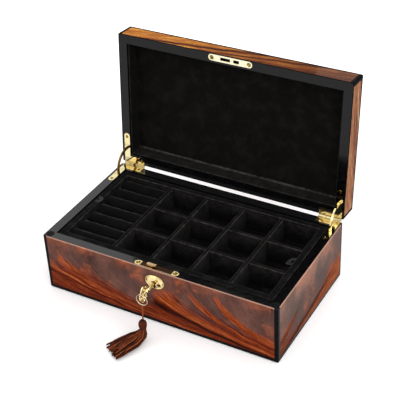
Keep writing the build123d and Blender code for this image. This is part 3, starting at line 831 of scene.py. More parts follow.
@dataclass(frozen=True)
class Silk(Finish):
    """Twisted brown silk. A strand's own attribute tells how far along and round it a point lies."""

    title: str = "twisted_brown_silk"
    slot: Slot = Slot.SILK
    twist: float = 2.1  # millimetres for one turn
    dark: Colour = tone(24, 8, 4)
    middle: Colour = tone(90, 41, 23)
    light: Colour = tone(160, 86, 50)

    def dress(self, graph: Graph) -> None:
        """Two plies twisted round each other, with painted shade in the grooves between them, and uneven dye.

        Args:
            graph: the tree to fill.
        """
        run, east, north = graph.add("Attribute", out="Vector", attribute_name="strand").parts()
        angle = run * (FULL_TURN / self.twist)
        ply = (angle.math("SINE") * east + angle.math("COSINE") * north).math("ABSOLUTE")
        # Painted shade: each strand darkens along the two grooves between its plies.
        shade = graph.sheen_wear_and_tone().times(0.52, ply * 0.35 + graph.place().noise(260.0) * 0.4)
        graph.shade(
            Base_Color=shade.ramp((0.41, self.dark), (0.7, self.middle), (0.96, self.light)),
            Roughness=0.55,
            Normal=ply.bump(0.6, 0.0003),
            Specular_IOR_Level=0.1,
            Sheen_Weight=0.015,
            Sheen_Roughness=0.4,
        )


@dataclass(frozen=True)
class Felt(Finish):
    """Dark felt or hard rubber: a matt ground with a fibre or grain of its own size."""

    title: str = "foot_felt"
    slot: Slot = Slot.FELT
    ground: Colour = tone(26, 30, 28)
    speck: Colour = tone(52, 58, 54)
    fineness: float = 900.0
    matt: float = 0.95
    gloss: float = 0.25

    def dress(self, graph: Graph) -> None:
        """Specks and a little relief.

        Args:
            graph: the tree to fill.
        """
        grain = graph.place().noise(self.fineness, 4.0, 0.7)
        graph.shade(
            Base_Color=grain.ramp((0.4, self.ground), (0.75, self.speck)),
            Roughness=self.matt,
            Normal=grain.bump(0.3, 0.0002),
            Specular_IOR_Level=self.gloss,
        )


LACQUER = Lacquer()
FRONT_LACQUER = Lacquer("black_lacquer_front_rim", fall=0.03)
LID_LACQUER = Lacquer("black_lacquer_lid", gloss=0.26)
EDGING_LACQUER = Lacquer("black_lacquer_edging", gloss=0.05)
LID_EDGING_LACQUER = Lacquer("black_lacquer_lid_edging", gloss=0.004)
BRASS = Brass()
STRIKE_BRASS = Brass("pale_brass", tone(254, 248, 214), tone(228, 206, 146), 0.12)
RING_BRASS = Brass("ring_metal", tone(214, 200, 174), tone(150, 128, 98), 0.14)
PLATE_BRASS = PlateBrass("faceplate_brass", smoothness=0.3, dark=tone(66, 46, 34))
BOLT_BRASS = Brass("bolt_brass", tone(236, 200, 156), tone(190, 140, 92), 0.24)
KEY_BRASS = KeyBrass("key_brass")
ESCUTCHEON_BRASS = EscutcheonBrass("escutcheon_brass")
HINGE_BRASS = HingeBrass("hinge_brass", tone(246, 230, 176), tone(208, 172, 102), dark=tone(96, 76, 34))
# The left stay's brass is painted dark: a painted reflection of dark surroundings.
PAINTED_DARK_STAY_BRASS = Brass("stay_brass", tone(112, 86, 42), tone(48, 36, 20), 0.14)
SCREW_BRASS = Brass("screw_brass", tone(150, 124, 66), tone(92, 72, 32), 0.2)
SUEDE = Suede()
TRAY_SUEDE = TraySuede("black_suede_tray", brushed=tone(36, 33, 34), lint=0.5)
# The lid's suede is lighter than the base's: painted light, for the light that the lid's lining catches.
LID_SUEDE = LidSuede("black_suede_lid", ground=tone(19, 18, 16), brushed=tone(32, 31, 28))
SILK = Silk()
RUBBER = Felt("rim_plug_rubber", Slot.RUBBER, tone(9, 9, 10), tone(20, 20, 22), 1500.0, 0.55, 0.09)


# Forms ---------------------------------------------------------------------------------------------


def wobble(point: Vector, size: float, seed: float = 0.0) -> float:
    """A smooth, repeatable unevenness from -1 to 1, with bumps of about that size in metres."""
    return noise.noise(point / size + Vector((seed, 2 * seed, 3 * seed)))


def circle(count: int) -> list[float]:
    """The angles of points spaced evenly round a circle."""
    return [FULL_TURN * k / count for k in range(count)]


def metres(pairs: Points) -> list[tuple[float, float]]:
    """Pairs of millimetres, in metres."""
    return [(a * MM, b * MM) for a, b in pairs]


def spread(low: float, high: float, count: int, margin: float = 0.0) -> list[float]:
    """Even steps from low to high, with closer ones in a margin at both ends.

    Args:
        low, high: the two ends.
        count: how many even steps there are.
        margin: the width of the margins.

    Returns:
        The places.
    """
    if not margin:
        return [low + (high - low) * k / count for k in range(count + 1)]
    ends = [0.0, 0.12 * margin, 0.35 * margin, 0.65 * margin]
    middle = spread(low + margin, high - margin, count)
    return [low + e for e in ends] + middle + [high - e for e in reversed(ends)]


def four_runs(half: Vector, height: float, width: float) -> list[tuple[Vector, Vector, Vector]]:
    """The outer top edges of four walls: front, right, back and left.

    Args:
        half: half sizes of the rectangle that they stand on.
        height: the edges' height.
        width: the walls' thickness.

    Returns:
        For each wall its start, its end and the way across to its inner face.
    """
    corners = [Vector((x * half.x, y * half.y, height)) for x, y in ((-1, -1), (1, -1), (1, 1), (-1, 1))]
    inward = [Vector(way) * width for way in ((0, 1, 0), (-1, 0, 0), (0, -1, 0), (1, 0, 0))]
    return [(corners[k], corners[(k + 1) % 4], inward[k]) for k in range(4)]


class Form:
    """Gathers shells into the mesh of one piece.

    Every point carries how pale it is, which is painted sheen and wear on cloth and a strand's own tone on
    silk, and where it lies on its strand: millimetres along, and the cosine and sine of the angle round it.
    """

    def __init__(self) -> None:
        """Starts with nothing."""
        self.points: list[Vector] = []
        self.faces: list[tuple[int, ...]] = []
        self.sheen_wear_and_tone: list[float] = []
        self.strand: list[Place] = []

    def put(self, point: Vector, sheen_wear_and_tone: float = 0.0, strand: Place = (0.0, 0.0, 0.0)) -> None:
        """Adds a point."""
        self.points.append(point)
        self.sheen_wear_and_tone.append(sheen_wear_and_tone)
        self.strand.append(strand)

    def loft(
        self,
        rings: list[list[Vector]],
        looped: bool = False,
        capped: bool = True,
        sheen_wear_and_tone: list[float] | None = None,
    ) -> "Form":
        """Joins rings of points by four-sided faces.

        Args:
            rings: closed rings with the same number of points.
            looped: joins the last ring to the first.
            capped: closes the two ends, if they aren't joined.
            sheen_wear_and_tone: how pale each point of a ring is: painted sheen and wear on cloth, a strand's
                own tone on silk.

        Returns:
            The form itself.
        """
        start, across = len(self.points), len(rings[0])
        run = 0.0
        for number, ring in enumerate(rings):
            if number:
                run += (ring[0] - rings[number - 1][0]).length / MM
            for point, angle, paleness in zip(ring, circle(across), sheen_wear_and_tone or [0.0] * across):
                self.put(point, paleness, (run, math.cos(angle), math.sin(angle)))
        for number in range(len(rings) if looped else len(rings) - 1):
            here = start + number * across
            there = start + (number + 1) % len(rings) * across
            for place in range(across):
                after = (place + 1) % across
                self.faces.append((here + place, here + after, there + after, there + place))
        if capped and not looped:
            end = start + (len(rings) - 1) * across
            self.faces.append(tuple(range(start + across - 1, start - 1, -1)))
            self.faces.append(tuple(range(end, end + across)))
        return self

    def tube(
        self,
        path: list[Vector],
        radius: float | list[float],
        sides: int = 8,
        looped: bool = False,
        shade: float = 0.0,
    ) -> "Form":
        """A round tube along a path.

        Args:
            path: its centreline.
            radius: one radius, or one for each point.
            sides: how many points each ring has.
            looped: joins its two ends.
            shade: its own tone, which is kept as its sheen_wear_and_tone value.

        Returns:
            The form itself.
        """
        radii = radius if isinstance(radius, list) else [radius] * len(path)
        count = len(path)
        rings = []
        normal: Vector | None = None
        for number, point in enumerate(path):
            before = path[number - 1] if number or looped else point
            after = path[(number + 1) % count] if number < count - 1 or looped else point
            along = (after - before).normalized()
            if normal is None:
                normal = along.orthogonal()
            normal = (normal - along * normal.dot(along)).normalized()
            side = along.cross(normal)
            ways = [normal * math.cos(t) + side * math.sin(t) for t in circle(sides)]
            rings.append([point + way * radii[number] for way in ways])
        return self.loft(rings, looped=looped, sheen_wear_and_tone=[shade] * sides)

    def lathe(self, profile: list[tuple[float, float]], seat: Matrix = UPRIGHT, sides: int = 40) -> "Form":
        """Turns a profile of radius and height pairs about the local Z axis of its seat."""
        turns = circle(sides)
        return self.loft(
            [[seat @ Vector((r * math.cos(t), r * math.sin(t), z)) for t in turns] for r, z in profile]
        )

    def ball(self, centre: Vector, radius: float) -> "Form":
        """A bead."""
        angles = [math.pi * (k + 0.3) / 6.6 for k in range(7)]
        profile = [(radius * math.sin(angle), -radius * math.cos(angle)) for angle in angles]
        return self.lathe(profile, Matrix.Translation(centre), 12)

    def board(
        self, start: Vector, end: Vector, across: Vector, low: float, radius: float, mitre: float = 0.0
    ) -> "Form":
        """A cloth-covered board from start to end, whose upper edges are rounded.

        Args:
            start, end: the ends of its outer top edge.
            across: from its outer face to its inner face.
            low: the height of its foot.
            radius: the rounding of its upper edges.
            mitre: how far the inner edge falls short at each end, for each unit of the width.

        Returns:
            The form itself.
        """
        width, high = across.length, start.z
        waist, steps, spacing, unevenness = (low + high) / 2, 5, 3 * MM, 0.06 * MM
        section = [(0.0, low, 0.0), (0.0, waist, 0.0)]
        for middle, first in ((radius, math.pi), (width - radius, math.pi / 2)):
            for step in range(steps + 1):
                turn = first - math.pi / 2 * step / steps
                # Painted sheen and wear: the cloth is palest halfway round each rounded upper edge.
                paleness = math.sin(math.pi * step / steps) ** 2
                out, up = radius * math.cos(turn), radius * math.sin(turn)
                section.append((middle + out, high - radius + up, paleness))
        section += [(width, waist, 0.0), (width, low, 0.0)]
        line = end - start
        along = line.normalized()
        rings = []
        for share in spread(0.0, 1.0, max(6, round(line.length / spacing))):
            ring = []
            for s, z, _ in section:
                point = start + line * share + across * (s / width) + along * (s * mitre * (1 - 2 * share))
                point.z = z
                if z > waist:
                    swell = unevenness * wobble(point, 11 * MM)
                    point += Vector((swell, 0.7 * swell, 0.5 * swell - 0.05 * MM))
                ring.append(point)
            rings.append(ring)
        return self.loft(rings, sheen_wear_and_tone=[paleness for _, _, paleness in section])

    def pad(
        self, low: Vector, high: Vector, edge: float, crown: float, relief: float, step: float = 4 * MM
    ) -> "Form":
        """A padded panel with rounded edges and a crowned, slightly uneven top.

        Args:
            low, high: its corners.
            edge: the rounding of its upper edges.
            crown: how much lower the top is at the edges than in the middle, besides the rounding.
            relief: the height of its unevenness.
            step: the spacing of its points.

        Returns:
            The form itself.
        """
        xs = spread(low.x, high.x, round((high.x - low.x) / step), edge)
        ys = spread(low.y, high.y, round((high.y - low.y) / step), edge)
        start, across, rows = len(self.points), len(xs), len(ys)
        middle, half = (low + high) / 2, (high - low) / 2
        for y in ys:
            for x in xs:
                inset = min(x - low.x, high.x - x, y - low.y, high.y - y)
                fall = edge - math.sqrt(max(edge**2 - (edge - min(inset, edge)) ** 2, 0.0))
                bow = max(abs(x - middle.x) / half.x, abs(y - middle.y) / half.y)
                z = high.z - fall * min(1.0, 0.8 * (high.z - low.z) / edge) - crown * bow**2
                z -= relief * (0.5 + 0.5 * wobble(Vector((x, y, z)), 14 * MM)) * min(1.0, inset / edge)
                # Painted sheen and wear: the cloth is paler towards the rounded edges.
                self.put(Vector((x, y, z)), max(0.0, 1 - inset / edge) * 0.5)
        for row in range(rows - 1):
            for column in range(across - 1):
                first = start + row * across + column
                self.faces.append((first, first + 1, first + across + 1, first + across))
        rim = [start + k for k in range(across)]
        rim += [start + row * across + across - 1 for row in range(1, rows)]
        rim += [start + (rows - 1) * across + k for k in range(across - 2, -1, -1)]
        rim += [start + row * across for row in range(rows - 2, 0, -1)]
        foot, count = len(self.points), len(rim)
        for index in rim:
            self.put(Vector((self.points[index].x, self.points[index].y, low.z)))
        for place, index in enumerate(rim):
            after = (place + 1) % count
            self.faces.append((index, foot + place, foot + after, rim[after]))
        self.faces.append(tuple(range(foot + count - 1, foot - 1, -1)))
        return self

    def turned_over(self) -> "Form":
        """Mirrors the form in the level plane, with its faces still outward.

        Returns:
            The form itself.
        """
        for point in self.points:
            point.z = -point.z
        self.faces = [tuple(reversed(face)) for face in self.faces]
        return self

    def piece(
        self, name: str, node: str, finish: Finish, body: Body, move: Matrix = UPRIGHT, crease: float = 35.0
    ) -> bpy.types.Object:
        """Builds the mesh, dresses it, lets it ride and puts it in the place of a CAD node.

        Args:
            name: the piece's name.
            node: the CAD node that it replaces.
            finish: its finish.
            body: the body that it rides on.
            move: brings it from where it was drawn to its place.
            crease: edges sharper than this many degrees stay sharp.

        Returns:
            The piece.
        """
        mesh = bpy.data.meshes.new(name)
        mesh.from_pydata([move @ point for point in self.points], [], self.faces)
        mesh.attributes.new("sheen_wear_and_tone", "FLOAT", "POINT").data.foreach_set("value", self.sheen_wear_and_tone)
        strand = np.array(self.strand, np.float32).ravel()
        mesh.attributes.new("strand", "FLOAT_VECTOR", "POINT").data.foreach_set("vector", strand)
        mesh.shade_smooth()
        mesh.set_sharp_from_angle(angle=math.radians(crease))
        made = link(bpy.data.objects.new(name, mesh))
        finish.put_on(made)
        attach(made, body.value)
        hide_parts(node)
        LOG.info("%s: %d faces, rides on %s", name, len(self.faces), body.value)
        return made


def link(made: bpy.types.Object) -> bpy.types.Object:
    """Puts an object into the scene."""
    bpy.context.scene.collection.objects.link(made)
    return made


@dataclass
class Stuffing:
    """Fills a soft piece from inside, by simulating its cover as cloth under pressure."""

    pressure: float
    slack: float  # how much longer the cover is than the drawn shape
    cap: Vector  # the furthest that a point may move along each axis
    held: float  # points lower than this are sewn down
    steps: int = 20

    def fill(self, piece: bpy.types.Object) -> None:
        """Runs the simulation and keeps its last shape in the mesh, with no modifier left.

        Args:
            piece: the soft piece, whose mesh is reshaped.
        """
        mesh = piece.data
        start = [vertex.co.copy() for vertex in mesh.vertices]
        sewn = piece.vertex_groups.new(name="sewn_down")
        sewn.add([number for number, place in enumerate(start) if place.z < self.held], 1.0, "REPLACE")
        cover = piece.modifiers.new("cover", "CLOTH")
        settings = cover.settings
        settings.quality = 6
        settings.mass = 0.25
        settings.tension_stiffness = settings.compression_stiffness = 25.0
        settings.shear_stiffness = 8.0
        settings.bending_stiffness = 0.3
        settings.use_pressure = True
        settings.uniform_pressure_force = self.pressure
        settings.shrink_min = -self.slack
        settings.vertex_group_mass = sewn.name
        settings.effector_weights.gravity = 0.0
        cover.point_cache.frame_start, cover.point_cache.frame_end = 1, self.steps
        scene = bpy.context.scene
        for step in range(1, self.steps + 1):
            scene.frame_set(step)
        shaped = piece.evaluated_get(bpy.context.evaluated_depsgraph_get())
        moved = [vertex.co - place for vertex, place in zip(shaped.data.vertices, start)]
        piece.modifiers.remove(cover)
        piece.vertex_groups.remove(sewn)
        scene.frame_set(1)
        for vertex, place, way in zip(mesh.vertices, start, moved):
            vertex.co = place + Vector([max(-most, min(most, part)) for part, most in zip(way, self.cap)])
        furthest = max(way.length for way in moved) / MM
        LOG.info("%s: filled, by up to %.2f mm before the cap", piece.name, furthest)


def dress_nodes(finish: Finish, *names: str, bevel: float = 0.0) -> None:
    """Gives CAD nodes a finish, and softens their edges for the light.

    Args:
        finish: their finish.
        names: the nodes.
        bevel: the softening's width in metres.
    """
    for name in names:
        node = frame["nodes"][name]
        finish.put_on(node)
        if bevel:
            soften = node.modifiers.new("soft_edges", "BEVEL")
            soften.width, soften.segments, soften.limit_method = bevel, 2, "ANGLE"
            soften.angle_limit = math.radians(50)
            soften.harden_normals = True
        LOG.info("%s: dressed with %s", name, finish.title)


# The box ------------------------------------------------------------------------------------------


FRONT_BANDS: Points = (
    (-1.6, 0.12), (-1.2, 0.42), (-0.95, 0.5), (-0.8, 0.48), (-0.755, 0.26), (-0.705, 0.76), (-0.64, 0.5),
    (-0.57, 0.68), (-0.48, 0.48), (-0.36, 0.48), (-0.27, 0.34), (-0.225, 0.0), (-0.17, 0.4), (-0.08, 0.74),
    (0.0, 0.5), (0.06, 0.42), (0.12, 0.7), (0.17, 0.4), (0.27, 0.66), (0.38, 0.5), (0.6, 0.4),
)
FRONT_TONGUES: Points = (
    (-1.6, 0.0), (-0.62, 0.0), (-0.55, 0.2), (-0.5, 0.0), (-0.12, 0.0), (0.02, 0.1), (0.08, 0.1),
    (0.13, 0.6), (0.18, 0.1), (0.22, 0.1), (0.27, 0.85), (0.31, 0.1), (0.6, 0.0),
)
# Lower edges of the painted reflection veil, in millimetres along and up each face.
FRONT_REFLECTION_VEIL: Points = (
    (-145, 36), (-110, 40), (-75, 34), (-45, 26), (-25, 22), (-8, 30), (5, 43), (20, 42), (35, 33),
    (60, 27), (90, 26), (120, 26), (145, 26),
)
FRONT_FLECKS: Points = (
    (-145, 0.2), (-120, 0.7), (-105, 0.3), (-90, 1.0), (-74, 0.2), (-55, 0.2), (-40, 0.9), (-25, 0.2),
    (0, 0.1), (38, 0.1), (55, 0.7), (70, 0.3), (98, 0.1), (120, 0.7), (138, 0.2),
)
LID_BANDS: Points = (
    (-1.6, 0.3), (-1.1, 0.38), (-0.95, 0.58), (-0.84, 0.12), (-0.78, 0.66), (-0.7, 0.6), (-0.64, 0.08),
    (-0.58, 0.56), (-0.45, 0.72), (-0.3, 0.66), (0.0, 0.75), (0.6, 0.6),
)
SIDE_BANDS: Points = (
    (-1.6, 0.2), (-1.1, 0.5), (-0.85, 0.62), (-0.65, 0.64), (-0.53, 0.5), (-0.45, 0.06), (-0.38, 0.38),
    (-0.25, 0.46), (0.0, 0.44), (0.2, 0.5), (0.6, 0.4),
)
SIDE_REFLECTION_VEIL: Points = (
    (-82, 30), (-60, 30), (-45, 31), (-35, 24), (-20, 20), (10, 18), (40, 17), (60, 20), (82, 22),
)
SIDE_FLECKS: Points = (
    (-82, 0.5), (-60, 0.9), (-45, 1.0), (-30, 0.7), (-10, 0.3), (5, 0.8), (22, 1.0), (35, 0.6),
    (55, 0.9), (82, 0.5),
)


@dataclass
class Cabinet:
    """The veneered shell of base and lid, with its lacquered rims and edging."""

    strip_bevel: float = 0.35 * MM
    rim_bevel: float = 0.3 * MM

    def build(self) -> None:
        """Dresses walls, edging and the nine veneered faces."""
        dress_nodes(EDGING_LACQUER, "base_corner_strips", bevel=self.strip_bevel)
        dress_nodes(LID_EDGING_LACQUER, "lid_corner_strips", "lid_top_strip", bevel=self.strip_bevel)
        for part, finish, front in (("base", LACQUER, FRONT_LACQUER), ("lid", LID_LACQUER, LID_LACQUER)):
            dress_nodes(finish, f"{part}_back_wall", f"{part}_left_wall", bevel=self.rim_bevel)
            dress_nodes(front, f"{part}_front_wall", f"{part}_right_wall", bevel=self.rim_bevel)
        dress_nodes(EDGING_LACQUER, "bottom_panel", "lid_top_panel")
        for name, figure in self.figures().items():
            dress_nodes(FlameVeneer(figure, f"flame_{name}"), name)

    def figures(self) -> dict[str, FlameFigure]:
        """Says how the flame lies on each veneered face.

        Returns:
            The figures by their CAD nodes.
        """
        base = {"up": (0, 0, 1), "arris": 73.0}
        dark = {"arris": NEVER, "inked_top": 72.98}
        sides = base | {"reflection_veil": SIDE_REFLECTION_VEIL, "bands": SIDE_BANDS, "flecks": SIDE_FLECKS, "calm": (-62.0, -12.0)}
        lid = {
            "up": (0, 0, 1), "on_lid": True, "foot": 73.4, "inked_foot": 0.02, "rate": 0.0033, "fall": 34.0,
            "reflection_veil": ((-145, 60), (0, 60), (145, 60)),
        }
        front = {"reflection_veil": FRONT_REFLECTION_VEIL, "bands": FRONT_BANDS, "tongues": FRONT_TONGUES, "flecks": FRONT_FLECKS}
        unseen = {"tint": (1.0, 1.25, 1.0)}
        return {
            "base_front_veneer": FlameFigure((1, 0, 0), depth=0.72, tint=(1.02, 0.88, 0.8), **(base | front)),
            "base_right_veneer": FlameFigure(
                (0, -1, 0), seed=21.0, painted_sheen=0.4, grain=0.24, drift=16.0, fleck_drop=52.0, cloud=0.72,
                depth=0.8, gradient=(1.5, 0.9), tint=(1.0, 1.12, 0.8), **sides
            ),
            "base_left_veneer": FlameFigure((0, 1, 0), seed=33.0, grain=0.14, drift=16.0, **(sides | dark)),
            "base_back_veneer": FlameFigure((-1, 0, 0), seed=47.0, drift=16.0, **(base | dark)),
            "lid_front_veneer": FlameFigure(
                (-1, 0, 0), seed=52.0, tint=(1.0, 1.7, 1.1), gradient=(0.85, 1.8), depth=0.75,
                bands=LID_BANDS, **lid
            ),
            # Painted reflection: the strong tint gives this face the pale pinkish haze of its coat mirroring
            # white surroundings.
            "lid_right_veneer": FlameFigure((0, -1, 0), seed=63.0, depth=0.7, tint=(1.7, 4.0, 8.2), **lid),
            "lid_left_veneer": FlameFigure((0, 1, 0), seed=75.0, **(lid | unseen)),
            "lid_back_veneer": FlameFigure((-1, 0, 0), seed=86.0, **(lid | unseen)),
            "lid_top_veneer": FlameFigure(
                (1, 0, 0), (0, 1, 0), -82.0, ((-145, 165), (-60, 120), (0, 118), (60, 120), (145, 165)),
                flecks=((-145, 0.15), (0, 0.35), (145, 0.15)), rate=0.012, fall=48.0, seed=97.0, matched=True,
                on_lid=True, drift=14.0, grain=0.03,
            ),
        }


@dataclass
class Linings:
    """Suede-covered boards and pads of the lower compartment and the lid, and the felt underneath."""

    inside: Vector = field(default_factory=lambda: Vector((134, 71.5, 0)) * MM)
    board: float = 3.0 * MM
    lid_board: float = 1.5 * MM
    floor: tuple[float, float] = (5 * MM, 8 * MM)
    ledge: float = 40.9 * MM
    lid_foot: float = 75.4 * MM
    lid_pad: tuple[float, float] = (92.9 * MM, 95.4 * MM)
    felt: float = 1 * MM
    felt_half: Vector = field(default_factory=lambda: Vector((142, 79.5, 0)) * MM)
    gap: float = 0.1 * MM

    def build(self) -> None:
        """Builds the linings of the base, those of the lid, and the felt."""
        self.boards("compartment_lining", (self.floor[0], self.ledge), self.board, Body.BASE)
        lined = self.inside - Vector((self.board, self.board, 0)) * 1.02
        self.pad("compartment_floor_pad", lined, self.floor, Body.BASE, UPRIGHT, 1.5 * MM)
        low, high = self.lid_pad
        flip = Matrix.Translation((0, 0, low + high)) @ Matrix.Rotation(math.pi, 4, "X")
        cushion = self.pad(
            "lid_lining_pad", self.inside * 0.9995, self.lid_pad, Body.LID, SWING @ flip, 1.6 * MM
        )
        self.boards("lid_lining_boards", (-low, -self.lid_foot), self.lid_board, Body.LID)
        x, y = self.felt_half.xy
        under = Form().pad(Vector((-x, -y, -self.felt)), Vector((x, y, 0)), 0.5 * MM, 0.0, 0.1 * MM, 8 * MM)
        over = Matrix.Rotation(math.pi, 4, "X")
        under.piece("underside_felt_cloth", "underside_felt", Felt(), Body.BASE, over)

    def boards(self, name: str, heights: tuple[float, float], width: float, body: Body) -> None:
        """Four mitred boards against the walls. Those of the lid are drawn upside down and turned over.

        Args:
            name: the CAD node that they replace.
            heights: their foot and rounded edge.
            width: their thickness.
            body: the body that they ride on.
        """
        in_lid = body is Body.LID
        half = self.inside - Vector((self.gap, self.gap, 0)) * 0.2
        form = Form()
        for start, end, across in four_runs(half, heights[1], width):
            form.board(start, end, across, heights[0], 0.45 * width, 1.0)
        if in_lid:
            form.turned_over()
        form.piece(name + "_suede", name, self.cloth(body), body, SWING if in_lid else UPRIGHT)

    def cloth(self, body: Body) -> Suede:
        """The suede of the lid catches more light than the base's."""
        return LID_SUEDE if body is Body.LID else SUEDE

    def pad(
        self, name: str, half: Vector, heights: tuple[float, float], body: Body, move: Matrix, edge: float
    ) -> bpy.types.Object:
        """One padded panel.

        Args:
            name: the CAD node that it replaces.
            half: its half sizes.
            heights: its foot and crown.
            body: the body that it rides on.
            move: from where it's drawn to its place.
            edge: the rounding of its edges.

        Returns:
            The piece.
        """
        low, high = heights
        first, last = Vector((-half.x, -half.y, low)), Vector((half.x, half.y, high))
        made = Form().pad(first, last, edge, 0.2 * MM, 0.3 * MM)
        return made.piece(name + "_suede", name, self.cloth(body), body, move)


@dataclass
class CellTray:
    """The lift-out tray: suede-covered walls, dividers and floor, padded rolls and two pull ribbons."""

    half: Vector = field(default_factory=lambda: Vector((133, 70.5, 0)) * MM)
    cells: Vector = field(default_factory=lambda: Vector((125, 62.5, 0)) * MM)
    foot: float = 41.0 * MM
    floor: float = 44.0 * MM
    top: float = 72.0 * MM
    divider_top: float = 70.5 * MM
    divider: float = 5.0 * MM
    divider_edge: float = 1.5 * MM
    separator: tuple[float, float] = (-67.5 * MM, -61.5 * MM)
    columns: int = 4
    rows: int = 3
    lap: float = 0.15 * MM
    edge: float = 1.2 * MM
    roll_count: int = 7
    roll_width: float = 16.857 * MM
    roll_pitch: float = 17.857 * MM
    roll_ends: tuple[float, float] = (-124.7 * MM, -67.8 * MM)
    roll_crest: float = 69.0 * MM
    roll_tuck: float = 4.0 * MM
    hanging: tuple[Place, ...] = (
        (125.0, 4.1, 69.1), (122.6, 4.4, 69.2), (119.8, 4.0, 68.3), (117.7, 2.4, 66.4), (116.9, 0.0, 65.4),
        (117.7, -2.4, 66.4), (119.8, -4.0, 68.3), (122.6, -4.4, 69.2), (125.0, -4.1, 69.1),
    )
    lying: tuple[Place, ...] = (
        (-130.0, 8.3, 72.4), (-128.0, 8.6, 72.42), (-126.0, 8.0, 72.5), (-124.9, 5.0, 72.55),
        (-126.0, 2.0, 72.5), (-128.0, 1.4, 72.42), (-130.0, 1.7, 72.4),
    )
    selvedge: tuple[float, ...] = (0.9, 0.2, 0.0, 0.0, 0.0, 0.2, 0.9)  # how pale the ribbon is across: a painted highlight along its two edges

    def build(self) -> None:
        """Builds the tray's pieces."""
        self.walls()
        self.lattice()
        self.floor_board()
        self.rolls()
        self.ribbons()

    def stand_in(self, form: Form, name: str) -> None:
        """Makes a suede piece of the form, in place of the CAD node of that name."""
        form.piece(name + "_suede", name, TRAY_SUEDE, Body.TRAY)

    def walls(self) -> None:
        """Four mitred walls."""
        runs = four_runs(self.half, self.top, self.half.x - self.cells.x)
        for side, (start, end, across) in zip(("front", "right", "back", "left"), runs):
            form = Form().board(start, end, across, self.foot, self.edge, 1.0)
            self.stand_in(form, f"tray_{side}_wall")

    def dividers(self, low: float, high: float, cells: int) -> list[float]:
        """Where the dividers between equal cells begin.

        Args:
            low, high: the two ends of the row of cells.
            cells: how many cells there are.

        Returns:
            The place of each divider's lower side.
        """
        cell = (high - low - (cells - 1) * self.divider) / cells
        return [low + cell + number * (cell + self.divider) for number in range(cells - 1)]

    def lattice(self) -> None:
        """The separator, the long dividers and the cross dividers between them."""
        y, top, low = self.cells.y + 0.02 * MM, self.divider_top, self.floor - 0.1 * MM
        left, right = self.separator
        across = Vector((right - left, 0, 0))
        form = Form().board(Vector((left, y, top)), Vector((left, -y, top)), across, low, 1.6 * MM)
        self.stand_in(form, "tray_separator")
        form, across = Form(), Vector((self.divider, 0, 0))
        columns = self.dividers(right, self.cells.x, self.columns)
        for x in columns:
            form.board(Vector((x, y, top)), Vector((x, -y, top)), across, low, self.divider_edge)
        self.stand_in(form, "tray_column_dividers")
        form = Form()
        starts = [right, *[x + self.divider for x in columns]]
        ends = [*columns, self.cells.x]
        for row in self.dividers(-self.cells.y, self.cells.y, self.rows):
            for start, end in zip(starts, ends):
                first, last = (Vector((x, row, top - 0.2 * MM)) for x in (start - self.lap, end + self.lap))
                form.board(first, last, Vector((0, self.divider, 0)), low, self.divider_edge)
        self.stand_in(form, "tray_row_dividers")

    def floor_board(self) -> None:
        """The covered floor that shows in the cells."""
        x, y = (self.cells + Vector((0.05, 0.05, 0)) * MM).xy
        low, high = Vector((-x, -y, self.foot)), Vector((x, y, self.floor))
        self.stand_in(Form().pad(low, high, 0.4 * MM, 0.0, 0.15 * MM), "tray_floor")

    def rolls(self) -> None:
        """Seven padded rolls side by side, each a little different."""
        form = Form()
        low = self.floor + 0.05 * MM
        for number in range(self.roll_count):
            middle = (number - (self.roll_count - 1) / 2) * self.roll_pitch
            self.roll(form, middle, low, float(number))
        piece = form.piece("cufflink_rolls_suede", "cufflink_rolls", SUEDE, Body.TRAY, crease=80.0)
        most = Vector((0.5, 0.42, 0.8)) * MM
        Stuffing(pressure=6.0, slack=0.045, cap=most, held=low + 2.5 * MM).fill(piece)

    def roll(self, form: Form, middle: float, low: float, seed: float) -> None:
        """One roll: flat under, pulled in at the foot, full at the crest and tucked at its ends.

        Args:
            form: what it is added to.
            middle: its line along the depth.
            low: its foot.
            seed: its own unevenness.
        """
        start, end = self.roll_ends
        turns = [math.pi * k / 22 for k in range(23)]
        rings = []
        for x in spread(start, end, 26, self.roll_tuck):
            inset = min(x - start, end - x, self.roll_tuck) / self.roll_tuck
            full = math.sqrt(max(1 - (1 - inset) ** 2, 0.0))
            half = self.roll_width / 2 * (0.86 + 0.14 * full)
            crest = low + (self.roll_crest - low) * (0.84 + 0.16 * full)
            shoulder = low + 0.62 * (crest - low)
            sole = [(0.84, low), (0.93, low + 0.25 * (crest - low))]
            ring = [Vector((x, middle + half * out, z)) for out, z in sole]
            for turn in turns:
                z = shoulder + (crest - shoulder) * math.sin(turn) ** 0.85
                ring.append(Vector((x, middle + half * math.cos(turn), z)))
            ring += [Vector((x, middle - half * out, z)) for out, z in reversed(sole)]
            for point in ring:
                if point.z > low + 1 * MM:
                    point.z -= 0.5 * MM + 0.12 * MM * wobble(point, 9 * MM, seed)
            rings.append(ring)
        # A painted highlight: a narrow pale line on the far side of each roll, just behind its crest.
        crease = [0.85 * math.exp(-(((turn - 1.12) / 0.2) ** 2)) for turn in turns]
        form.loft(rings, sheen_wear_and_tone=[0.0, 0.0, *crease, 0.0, 0.0])

    def ribbons(self) -> None:
        """Two loops of ribbon: one hangs from the right wall over the cells, one lies on the left wall."""
        form = Form()
        for line in (self.hanging, self.lying):
            self.band(form, [Vector(place) * MM for place in line], 1.6 * MM, 0.3 * MM)
        form.piece("tray_pull_ribbons_satin", "tray_pull_ribbons", Ribbon(), Body.TRAY, crease=50.0)

